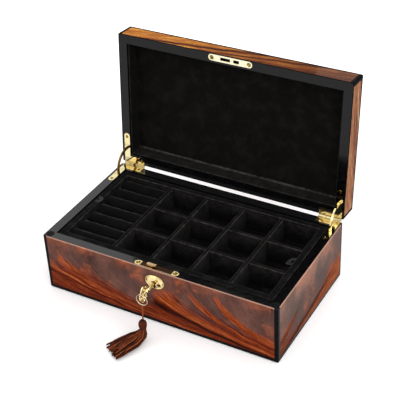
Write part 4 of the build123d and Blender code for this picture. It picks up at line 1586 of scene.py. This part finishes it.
    def band(self, form: Form, corners: list[Vector], half_width: float, half_thick: float) -> None:
        """A flat ribbon along a smooth line through the corners.

        Args:
            form: what it is added to.
            corners: the line's points.
            half_width, half_thick: half of the ribbon's width and thickness.
        """
        line, last = [], len(corners) - 1
        for number in range(last):
            a, b, c, d = (corners[min(max(number + k, 0), last)] for k in (-1, 0, 1, 2))
            for t in spread(0.0, 1.0, 6)[:-1]:
                straight = 2 * b + (c - a) * t
                bent = (2 * a - 5 * b + 4 * c - d) * t**2
                turned = (3 * b - a - 3 * c + d) * t**3
                line.append(0.5 * (straight + bent + turned))
        line.append(corners[-1])
        rings = []
        for number, point in enumerate(line):
            along = (line[min(number + 1, len(line) - 1)] - line[max(number - 1, 0)]).normalized()
            side = along.cross(Vector((0, 0, 1))).normalized()
            out = side.cross(along).normalized() * half_thick
            cross = [point + side * half_width * (k / 3 - 1) for k in range(len(self.selvedge))]
            rings.append([p + out for p in cross] + [p - out for p in reversed(cross)])
        form.loft(rings, sheen_wear_and_tone=[*self.selvedge, *self.selvedge])


# Fittings -----------------------------------------------------------------------------------------


@dataclass
class Hardware:
    """Hinges, stays and lock plates."""

    bevel: float = 0.18 * MM
    bolt_bevel: float = 0.12 * MM

    def build(self) -> None:
        """Dresses the CAD nodes of the fittings."""
        for finish, bevel, *nodes in (
            (HINGE_BRASS, self.bevel, "base_hinge_leaves", "lid_hinge_leaves"),
            # The left stay is painted dark, a painted reflection; the right stay keeps the bright brass.
            (PAINTED_DARK_STAY_BRASS, self.bevel, "left_stay"),
            (BRASS, self.bevel, "right_stay"),
            (BRASS, 0.0, "hinge_pins"),
            (PLATE_BRASS, self.bevel, "lock_faceplate"),
            (BOLT_BRASS, self.bolt_bevel, "hook_bolt"),
            (STRIKE_BRASS, self.bevel, "strike_plate"),
            (Steel(), 0.0, "lock_case"),
        ):
            dress_nodes(finish, *nodes, bevel=bevel)


@dataclass
class Screws:
    """Countersunk screws with domed, slotted heads. Places, radii and profiles are in millimetres."""

    slot: float = 0.27  # half of its width
    leaf: Points = ((138.25, 48.75), (118.5, 78.5))
    plate: tuple[float, float] = (23.0, -77.25)
    leaf_head: float = 2.0
    plate_head: float = 2.6
    base_top: float = 73.0
    lid_rim: float = 73.4
    shank: Points = ((0.3, -8.0), (1.1, -7.0), (1.1, -1.2), (1.62, -0.45))
    collar: Points = ((1.62, -0.45), (1.96, -0.02))
    dome: Points = ((1.0, 0.01), (0.98, 0.06), (0.8, 0.12), (0.58, 0.16), (0.36, 0.18))  # share of the radius

    def build(self) -> None:
        """Builds the screws of the hinges, the faceplate and the strike plate."""
        rng = random.Random(11)
        leaves = [(side * x, y) for x, y in self.leaf for side in (-1, 1)]
        plates = [(side * self.plate[0], self.plate[1]) for side in (-1, 1)]
        on_base = Matrix.Translation((0, 0, self.base_top * MM))
        on_lid = SWING @ Matrix.Translation((0, 0, self.lid_rim * MM))
        for node, places, head, seat, body in (
            ("base_hinge_screws", leaves, self.leaf_head, on_base, Body.BASE),
            ("lid_hinge_screws", leaves, self.leaf_head, on_lid, Body.LID),
            ("lock_screws", plates, self.plate_head, on_base, Body.BASE),
            ("strike_screws", plates, self.plate_head, on_lid, Body.LID),
        ):
            form = Form()
            for x, y in places:
                over = Matrix.Rotation(math.pi if body is Body.LID else 0.0, 4, "X")
                turned = Matrix.Rotation(rng.uniform(0.0, math.pi), 4, "Z")
                self.screw(form, seat @ Matrix.Translation((x * MM, y * MM, 0)) @ over @ turned, head)
            form.piece(f"{node}_slotted", node, SCREW_BRASS, body, crease=28.0)

    def screw(self, form: Form, seat: Matrix, head: float) -> None:
        """One screw: the shank and cone, and the head's two halves beside the slot.

        Args:
            form: what it is added to.
            seat: from the screw's own axes, whose Z points out of the wood, to its place.
            head: the head's radius.
        """
        form.lathe(metres(self.shank), seat, 24)
        profile = [*self.collar, *[(head * share, z) for share, z in self.dome]]
        for half in (0.0, math.pi):
            turn = seat @ Matrix.Rotation(half, 4, "Z")
            rings = []
            for radius, z in profile:
                first = math.asin(self.slot / radius)
                angles = [first + (math.pi - 2 * first) * k / 16 for k in range(17)]
                ring = [Vector((radius * math.cos(a), radius * math.sin(a), z)) for a in angles]
                rings.append([turn @ (point * MM) for point in ring])
            form.loft(rings)


@dataclass
class RimPlugs:
    """Two round rubber plugs let into the front corners of the rim, each with a raised ring."""

    place: Place = (139.0, -76.3, 73.0)
    profile: Points = (
        (4.2, -3.0), (4.68, -2.8), (4.68, 0.02), (4.55, 0.18), (4.25, 0.25), (3.9, 0.22), (3.7, 0.06),
        (3.45, 0.03), (3.25, 0.1), (2.2, 0.19), (0.8, 0.23),
    )

    def build(self) -> None:
        """Turns both plugs."""
        x, y, z = self.place
        form = Form()
        for side in (-1, 1):
            form.lathe(metres(self.profile), Matrix.Translation(Vector((side * x, y, z)) * MM))
        form.piece("rim_plugs_turned", "rim_bumpers", RUBBER, Body.BASE)


@dataclass
class Escutcheon:
    """The oval domed keyhole plate."""

    length: float = 24.0 * MM
    height: float = 18.0 * MM
    back: float = -82.5 * MM
    key_z: float = 58.0 * MM
    hole: float = 2.3 * MM
    slot: float = 1.1 * MM
    slot_foot: float = -6.7 * MM
    sides: int = 72
    # From the keyhole, at 0, to the oval edge, at 1: how far out the face stands, in millimetres.
    section: Points = (
        (0.0, 0.0), (0.0, 2.15), (0.03, 2.4), (0.2, 2.32), (0.4, 2.148), (0.58, 1.77), (0.7, 1.336),
        (0.76, 0.9), (0.79, 0.78), (0.82, 0.95), (0.88, 1.18), (0.94, 1.1), (0.985, 0.75), (1.0, 0.4),
        (1.0, 0.0),
    )
    pins: tuple[float, float] = (-10.2 * MM, 10.2 * MM)
    pin_profile: Points = (  # the radius, and how far out from the box's middle
        (0.2, 81.1), (0.6, 81.4), (0.6, 83.3), (0.98, 83.34), (1.0, 83.5), (0.86, 83.75), (0.6, 83.92),
        (0.3, 84.0),
    )

    def outline(self, angle: float, share: float) -> tuple[float, float]:
        """A point of the plate, seen from the front.

        Args:
            angle: its direction from the keyhole's centre.
            share: where it lies between the keyhole, at 0, and the oval edge, at 1.

        Returns:
            How far it lies to the right and up.
        """
        c, s = math.cos(angle), math.sin(angle)
        inner = self.hole
        if s < 0:
            inner = max(inner, min(self.slot / max(abs(c), 1e-6), self.slot_foot / s))
        outer = 1 / math.hypot(c / (self.length / 2), s / (self.height / 2))
        reach = inner + (outer - inner) * share
        return reach * c, reach * s

    def build(self) -> None:
        """Builds the plate from the keyhole's edge out over the dome to the flat border, and its two pins."""
        angles = [FULL_TURN * (k + 0.5) / self.sides for k in range(self.sides)]
        rings = []
        for share, out in self.section:
            places = [self.outline(angle, share) for angle in angles]
            rings.append([Vector((x, self.back - out * MM, self.key_z + z)) for x, z in places])
        form = Form().loft(rings, looped=True)
        form.piece("escutcheon_dome", "escutcheon", ESCUTCHEON_BRASS, Body.BASE, crease=50.0)
        pins = Form()
        for x in self.pins:
            seat = Matrix.Translation((x, 0, self.key_z)) @ Matrix.Rotation(math.pi / 2, 4, "X")
            pins.lathe(metres(self.pin_profile), seat, 24)
        pins.piece("escutcheon_pins_domed", "escutcheon_pins", SCREW_BRASS, Body.BASE, crease=50.0)


@dataclass
class Key:
    """The key: a turned stem with a collar, a bit and a bow of scrolls. Profiles are in millimetres."""

    axis_z: float = 58.0 * MM
    bow_y: float = -106.0 * MM
    stem_end: float = -75.35 * MM
    bit_half: float = 0.8 * MM
    stem: Points = (
        (0.6, 75.35), (1.8, 75.95), (1.75, 96.2), (2.0, 96.5), (2.1, 97.1), (1.8, 97.6), (1.6, 98.1),
        (2.1, 98.8), (2.25, 99.5), (2.0, 100.3), (1.4, 101.2),
    )
    collar: Points = (
        (1.9, 93.0), (2.4, 93.1), (2.7, 93.5), (2.4, 94.0), (2.25, 94.5), (2.4, 95.0), (2.7, 95.5),
        (2.4, 95.9), (1.9, 96.0),
    )
    beads: tuple[Place, ...] = ((1.4, 5.0, 1.05), (-7.0, 2.2, 0.95), (5.2, 6.3, 0.9))  # place and radius

    def build(self) -> None:
        """Builds the stem, bit and bow as one piece and the collar as another."""
        form = Form()
        turned = Matrix.Translation((0, 0, self.axis_z)) @ Matrix.Rotation(math.pi / 2, 4, "X")
        form.lathe(metres(self.stem), turned, 28)
        self.bow(form)
        self.bit(form)
        form.piece("key_turned", "key", KEY_BRASS, Body.KEY, crease=40.0)
        collar = Form().lathe(metres(self.collar), turned, 32)
        collar.piece("key_collar_turned", "key_collar", KEY_BRASS, Body.COLLAR, crease=50.0)

    def at(self, y: float, z: float) -> Vector:
        """A point of the bow, in millimetres from its centre. Towards the box is positive."""
        return Vector((0.0, self.bow_y + y * MM, self.axis_z + z * MM))

    def bow(self, form: Form) -> None:
        """Two large scrolls, an inner pair, a leaf between them and a pierced eye for the ring.

        Args:
            form: what they are added to.
        """
        for side in (1, -1):
            outer = self.scroll(side, (5.6, 1.3), (-6.2, 3.2), 10.0)
            form.tube(outer, self.taper(len(outer), 0.6, 0.95), 10)
            curl = self.spiral(side, (1.2, 5.5), 3.2, 0.5 * math.pi, 1.55)
            form.tube(curl, self.taper(len(curl), 0.4, 0.66), 8)
            if side < 0:  # the eye takes its place above
                small = self.spiral(side, (-2.9, 3.4), 2.2, -0.4 * math.pi, 1.3)
                form.tube(small, self.taper(len(small), 0.4, 0.6), 8)
            for y, z, radius in self.beads:
                form.ball(self.at(y, side * z), radius * MM)
        eye = [self.at(-4.0 + 2.2 * math.cos(t), 2.5 + 2.2 * math.sin(t)) for t in circle(20)]
        form.tube(eye, 0.55 * MM, 8, looped=True)
        leaf = [self.at(y, z) for y, z in ((6.6, 0), (3.6, 0), (1.0, 0), (-1.2, 0.2))]
        form.tube(leaf, [1.4 * MM, 1.15 * MM, 1.3 * MM, 0.6 * MM], 10)
        form.ball(self.at(-7.0, 0), 1.0 * MM)

    def scroll(
        self, side: int, start: tuple[float, float], end: tuple[float, float], bulge: float
    ) -> list[Vector]:
        """The outer line of one half of the bow, from the stem round to the tip.

        Args:
            side: 1 for the upper half, -1 for the lower.
            start, end: its ends.
            bulge: how far it swells.

        Returns:
            The line's points.
        """
        points = []
        for t in spread(0.0, 1.0, 28):
            y = start[0] + (end[0] - start[0]) * t - 0.9 * math.sin(FULL_TURN * t)
            z = start[1] * (1 - t) + end[1] * t + (bulge - 2.2) * math.sin(math.pi * t)
            z += 0.55 * math.sin(3 * math.pi * t)
            points.append(self.at(y, side * z))
        return points

    def spiral(
        self, side: int, centre: tuple[float, float], reach: float, start: float, turns: float
    ) -> list[Vector]:
        """A curl that winds in round its centre.

        Args:
            side: 1 for the upper half of the bow, -1 for the lower.
            centre, reach: its centre and first radius.
            start, turns: its first angle and how many turns it makes.

        Returns:
            The line's points.
        """
        points = []
        for t in spread(0.0, 1.0, 32):
            angle = start + FULL_TURN * turns * t
            r = reach * (1 - 0.78 * t)
            points.append(self.at(centre[0] + r * math.cos(angle), side * (centre[1] + r * math.sin(angle))))
        return points

    def taper(self, count: int, thin: float, thick: float) -> list[float]:
        """Radii in metres that swell towards the middle of a line."""
        return [(thin + (thick - thin) * math.sin(math.pi * k / (count - 1))) * MM for k in range(count)]

    def bit(self, form: Form) -> None:
        """The bit, a plain plate that hangs down from the stem.

        Args:
            form: what it is added to.
        """
        inner, outer = self.stem_end - 0.3 * MM, self.stem_end - 3.8 * MM
        foot, top = self.axis_z - 6.4 * MM, self.axis_z - 1.2 * MM
        outline = ((inner, top), (inner, foot), (outer, foot), (outer, top))
        form.loft([[Vector((x, y, z)) for y, z in outline] for x in (-self.bit_half, self.bit_half)])


# Tassel -------------------------------------------------------------------------------------------


@dataclass
class Tassel:
    """The split ring, its cord and the silk tassel that lies on the table."""

    ring_centre: Vector = field(default_factory=lambda: Vector((0, -110, 53.5)) * MM)
    ring_radius: float = 6.65 * MM
    ring_wire: float = 0.3 * MM
    ring_step: float = 0.28 * MM
    route: tuple[Place, ...] = (
        (0.0, -0.11, 0.0462), (0.0005, -0.1109, 0.0377), (0.0, -0.1116, 0.0265), (-0.0005, -0.113, 0.0152),
    )
    cord_length: float = 31 * MM
    cord_radius: float = 0.8 * MM
    ply_radius: float = 0.5 * MM
    ply_offset: float = 0.42 * MM
    ply_pitch: float = 4.2 * MM
    head_foot: Vector = field(default_factory=lambda: Vector((-0.3, -112.3, 14.6)) * MM)
    head_height: float = 13.8 * MM
    head_radius: float = 4.7 * MM
    head_shape: Points = (
        (0.0, 0.74), (0.06, 0.82), (0.16, 0.74), (0.24, 0.9), (0.4, 1.0), (0.6, 1.0), (0.76, 0.88),
        (0.88, 0.62), (0.97, 0.36), (1.0, 0.2),
    )
    thread: float = 0.42 * MM
    thread_turns: int = 15
    # The skirt's middle, half width and half thickness in millimetres, and its fall in degrees.
    sections: tuple[tuple[Place, float, float, float], ...] = (
        ((-0.4, -112.8, 14.8), 4.2, 4.2, 90.0),
        ((-1.1, -115.6, 9.9), 8.6, 7.8, 68.0),
        ((-5.4, -124.6, 7.7), 12.8, 7.6, 24.0),
        ((-12.2, -137.0, 6.0), 15.2, 5.8, 8.0),
        ((-19.4, -150.2, 4.2), 16.4, 3.9, 6.0),
    )
    heading: float = -123.0
    strands: int = 84
    strand_radius: float = 0.78 * MM
    strand_steps: int = 40

    def build(self) -> None:
        """Builds the ring, head and skirt, and then the cord that they hang on."""
        self.ring()
        head, skirt = self.head(), self.skirt()
        self.cord()

    def ring(self) -> None:
        """A split ring: two turns of wire side by side, joined by a short step."""
        path = []
        for share in spread(0.0, 1.0, 128):
            turn = 2 * FULL_TURN * share
            aside = self.ring_step * math.tanh((share - 0.5) * 18)
            place = Vector((self.ring_radius * math.cos(turn), aside, self.ring_radius * math.sin(turn)))
            path.append(self.ring_centre + place)
        form = Form().tube(path, self.ring_wire, 8)
        form.piece("key_ring_split", "key_ring", RING_BRASS, Body.TASSEL, crease=60.0)

    def route_line(self) -> list[Vector]:
        """Reads the cord's centreline from its own smooth spline.

        Returns:
            The line's points.
        """
        curve = bpy.data.curves.new("tassel_cord_route", "CURVE")
        curve.dimensions = "3D"
        curve.resolution_u = 24
        spline = curve.splines.new("NURBS")
        spline.points.add(len(self.route) - 1)
        for point, place in zip(spline.points, self.route):
            point.co = (*place, 1.0)
        spline.order_u = 3
        spline.use_endpoint_u = True
        holder = bpy.data.objects.new("tassel_cord_route", curve)
        mesh = bpy.data.meshes.new_from_object(holder)
        line = [vertex.co.copy() for vertex in mesh.vertices]
        bpy.data.objects.remove(holder)
        bpy.data.meshes.remove(mesh)
        return line

    def cord(self) -> None:
        """Three plies twisted along the route.
        """
        line = self.route_line()
        form = Form()
        run = [0.0]
        for a, b in zip(line, line[1:]):
            run.append(run[-1] + (b - a).length)
        for ply in range(3):
            path = []
            for place, distance in zip(line, run):
                turn = FULL_TURN * (distance / self.ply_pitch + ply / 3)
                path.append(place + Vector((math.cos(turn), math.sin(turn), 0)) * self.ply_offset)
            form.tube(path, self.ply_radius, 8, shade=0.85)
        piece = form.piece("tassel_cord_plies", "tassel_cord", SILK, Body.TASSEL, crease=60.0)

    def head(self) -> bpy.types.Object:
        """The bound head: thread wound over a round core, with a knot on top.

        Returns:
            The piece.
        """
        foot, tall, full = self.head_foot, self.head_height, self.head_radius
        core = [(full * r * 0.88, tall * h) for h, r in self.head_shape]
        form = Form().lathe(core, Matrix.Translation(foot), 28)
        path = []
        for share in spread(0.0, 1.0, 360):
            radius = np.interp(share, *zip(*self.head_shape)) * full - self.thread
            angle = FULL_TURN * self.thread_turns * share
            height = 0.3 * MM + (tall - 0.8 * MM) * share
            path.append(foot + Vector((radius * math.cos(angle), radius * math.sin(angle), height)))
        form.tube(path, self.thread, 6, shade=0.45)
        return form.piece("tassel_head_bound", "tassel_head", SILK, Body.TASSEL, crease=70.0)

    def section(self, share: float) -> tuple[Vector, float, float, float]:
        """The skirt's cross-section at a share of its length.

        Args:
            share: 0 at the head, 1 at the ends of the longest strands.

        Returns:
            Its centre, half width, half thickness and fall.
        """
        spot = share * (len(self.sections) - 1)
        index = min(int(spot), len(self.sections) - 2)
        part = spot - index
        ease = part * part * (3 - 2 * part) * 0.35 + part * 0.65
        here, there = self.sections[index], self.sections[index + 1]
        centre = Vector(here[0]).lerp(Vector(there[0]), part)
        wide, thick, fall = (a + (b - a) * ease for a, b in zip(here[1:], there[1:]))
        return centre * MM, wide * MM, thick * MM, fall

    def skirt(self) -> bpy.types.Object:
        """Twisted strands that fall from the head, bend and fan out on the table.

        Returns:
            The piece.
        """
        rng = random.Random(7)
        form = Form()
        heading, golden_angle = math.radians(self.heading), 2.39996
        across = Vector((-math.sin(heading), math.cos(heading), 0))
        forward = Vector((math.cos(heading), math.sin(heading), 0))
        radii = [self.strand_radius] * (self.strand_steps - 1) + [self.strand_radius * s for s in (0.9, 0.7)]
        for number in range(self.strands):
            ring = math.sqrt((number + 0.5) / self.strands) * 0.9
            reach = 0.82 + 0.18 * rng.random() ** 0.7
            sway, phase, roll = rng.uniform(0.3, 1.1), rng.uniform(0, 6.28), rng.uniform(-0.5, 0.5)
            lift, shade = rng.uniform(-0.9, 0.9), rng.random()
            path = []
            for k in range(self.strand_steps + 1):
                share = k / self.strand_steps * reach
                centre, wide, thick, fall = self.section(share)
                slope = math.radians(fall)
                up = forward * math.sin(slope) + Vector((0, 0, math.cos(slope)))
                turned = number * golden_angle + roll * share
                a, b = ring * math.cos(turned), ring * math.sin(turned)
                point = centre + across * (a * (wide - self.strand_radius))
                point += up * (b * (thick - self.strand_radius))
                point += across * (sway * MM * share * math.sin(7 * share + phase))
                point.z += lift * MM * math.sin(math.pi * share)
                point.z = max(point.z, self.strand_radius * 1.02)
                path.append(point)
            form.tube(path, radii, 6, shade=shade)
        return form.piece("tassel_skirt_strands", "tassel_skirt", SILK, Body.TASSEL, crease=70.0)


# Studio -------------------------------------------------------------------------------------------


@dataclass
class Studio:
    """The pale floor, the soft lights, the white surroundings and the camera."""

    azimuth: float = 30.78
    elevation: float = 34.48
    roll: float = 3.0
    focal: float = 1068.0  # in pixels, as is the next
    frame_width: float = 400.0
    eye: Vector = field(default_factory=lambda: Vector((0.5, -0.8196, 0.7710)))
    target: Vector = field(default_factory=lambda: Vector((0, 0, 0.06)))
    floor_half: float = 6.0
    # Each light's place in metres, its side and its power.
    lights: tuple[tuple[str, Place, float, float], ...] = (
        ("key_light", (1.1, -1.0, 1.5), 2.2, 25.0),
        ("fill_light", (-1.3, -1.2, 1.3), 2.2, 10.0),
        ("top_light", (0.1, 0.5, 1.9), 2.2, 12.0),
        ("back_light", (0.1, 1.9, 1.2), 1.6, 12.0),
    )

    def build(self) -> None:
        """Sets up everything that isn't the object, apart from the camera."""
        self.floor()
        self.world()
        for name, place, size, power in self.lights:
            data = bpy.data.lights.new(name, "AREA")
            data.size, data.energy = size, power
            lamp = link(bpy.data.objects.new(name, data))
            lamp.location = place
            lamp.rotation_euler = (self.target - Vector(place)).to_track_quat("-Z", "Y").to_euler()
        bpy.context.scene.view_settings.view_transform = "Standard"

    def camera(self) -> None:
        """The camera, at the height and angle of a standing onlooker, slightly rolled."""
        azimuth, elevation, roll = (math.radians(a) for a in (self.azimuth, self.elevation, self.roll))
        level = math.cos(elevation)
        back = Vector((math.sin(azimuth) * level, -math.cos(azimuth) * level, math.sin(elevation)))
        right = Vector((0, 0, 1)).cross(back).normalized()
        up = back.cross(right)
        x = right * math.cos(roll) - up * math.sin(roll)
        y = right * math.sin(roll) + up * math.cos(roll)
        data = bpy.data.cameras.new("camera")
        data.sensor_width = 36.0
        data.lens = self.focal / self.frame_width * data.sensor_width
        made = link(bpy.data.objects.new("camera", data))
        made.matrix_world = Matrix((x, y, back)).transposed().to_4x4()
        made.location = self.eye
        bpy.context.scene.camera = made

    def floor(self) -> None:
        """A plain pale floor that keeps the object's shadow."""
        mesh = bpy.data.meshes.new("floor")
        h = self.floor_half
        mesh.from_pydata([(-h, -h, 0), (h, -h, 0), (h, h, 0), (-h, h, 0)], [], [(0, 1, 2, 3)])
        made = link(bpy.data.objects.new("floor", mesh))
        material = bpy.data.materials.new("studio_floor")
        material.use_nodes = True
        nodes = material.node_tree.nodes
        nodes.remove(nodes["Principled BSDF"])
        graph = Graph(material.node_tree)
        lit = graph.add("BsdfDiffuse", {"Color": (0.9, 0.9, 0.9, 1.0)})
        glow = graph.place().length().smooth(0.3, 1.2).times(0.9, 0.12)
        seen = graph.add("BsdfDiffuse", {"Color": WHITE})
        glowing = graph.add("Emission", {"Color": WHITE, "Strength": glow})
        bright = graph.add("AddShader", {0: seen, 1: glowing})
        camera = graph.add("LightPath", out="Is Camera Ray")
        mixed = graph.add("MixShader", {0: camera, 1: lit, 2: bright})
        graph.feed(nodes["Material Output"].inputs["Surface"], mixed)
        mesh.materials.append(material)

    def world(self) -> None:
        """White to the camera and in reflections, softer as a light."""
        world = bpy.data.worlds.new("surroundings")
        world.use_nodes = True
        bpy.context.scene.world = world
        graph = Graph(world.node_tree)
        ground = world.node_tree.nodes["Background"]
        camera, glossy, through = (
            graph.add("LightPath", out=f"Is {ray} Ray") for ray in ("Camera", "Glossy", "Transmission")
        )
        seen = camera.math("MAXIMUM", glossy).math("MAXIMUM", through)
        graph.feed(ground.inputs["Strength"], seen.times(0.45, 0.55))
        graph.feed(ground.inputs["Color"], WHITE)


def main() -> None:
    """Builds the camera first, then the tassel with its cord, the rest of the box, and the studio."""
    logging.basicConfig(level=logging.INFO, format="%(name)s: %(message)s")
    studio = Studio()
    studio.camera()
    box = (Tassel(), Key(), Escutcheon(), Hardware(), Screws(), RimPlugs(), Cabinet(), Linings(), CellTray())
    for part in box:
        LOG.info("%s", type(part).__name__)
        part.build()
    studio.build()
    bpy.context.view_layer.update()


if __name__ == "__main__":
    main()
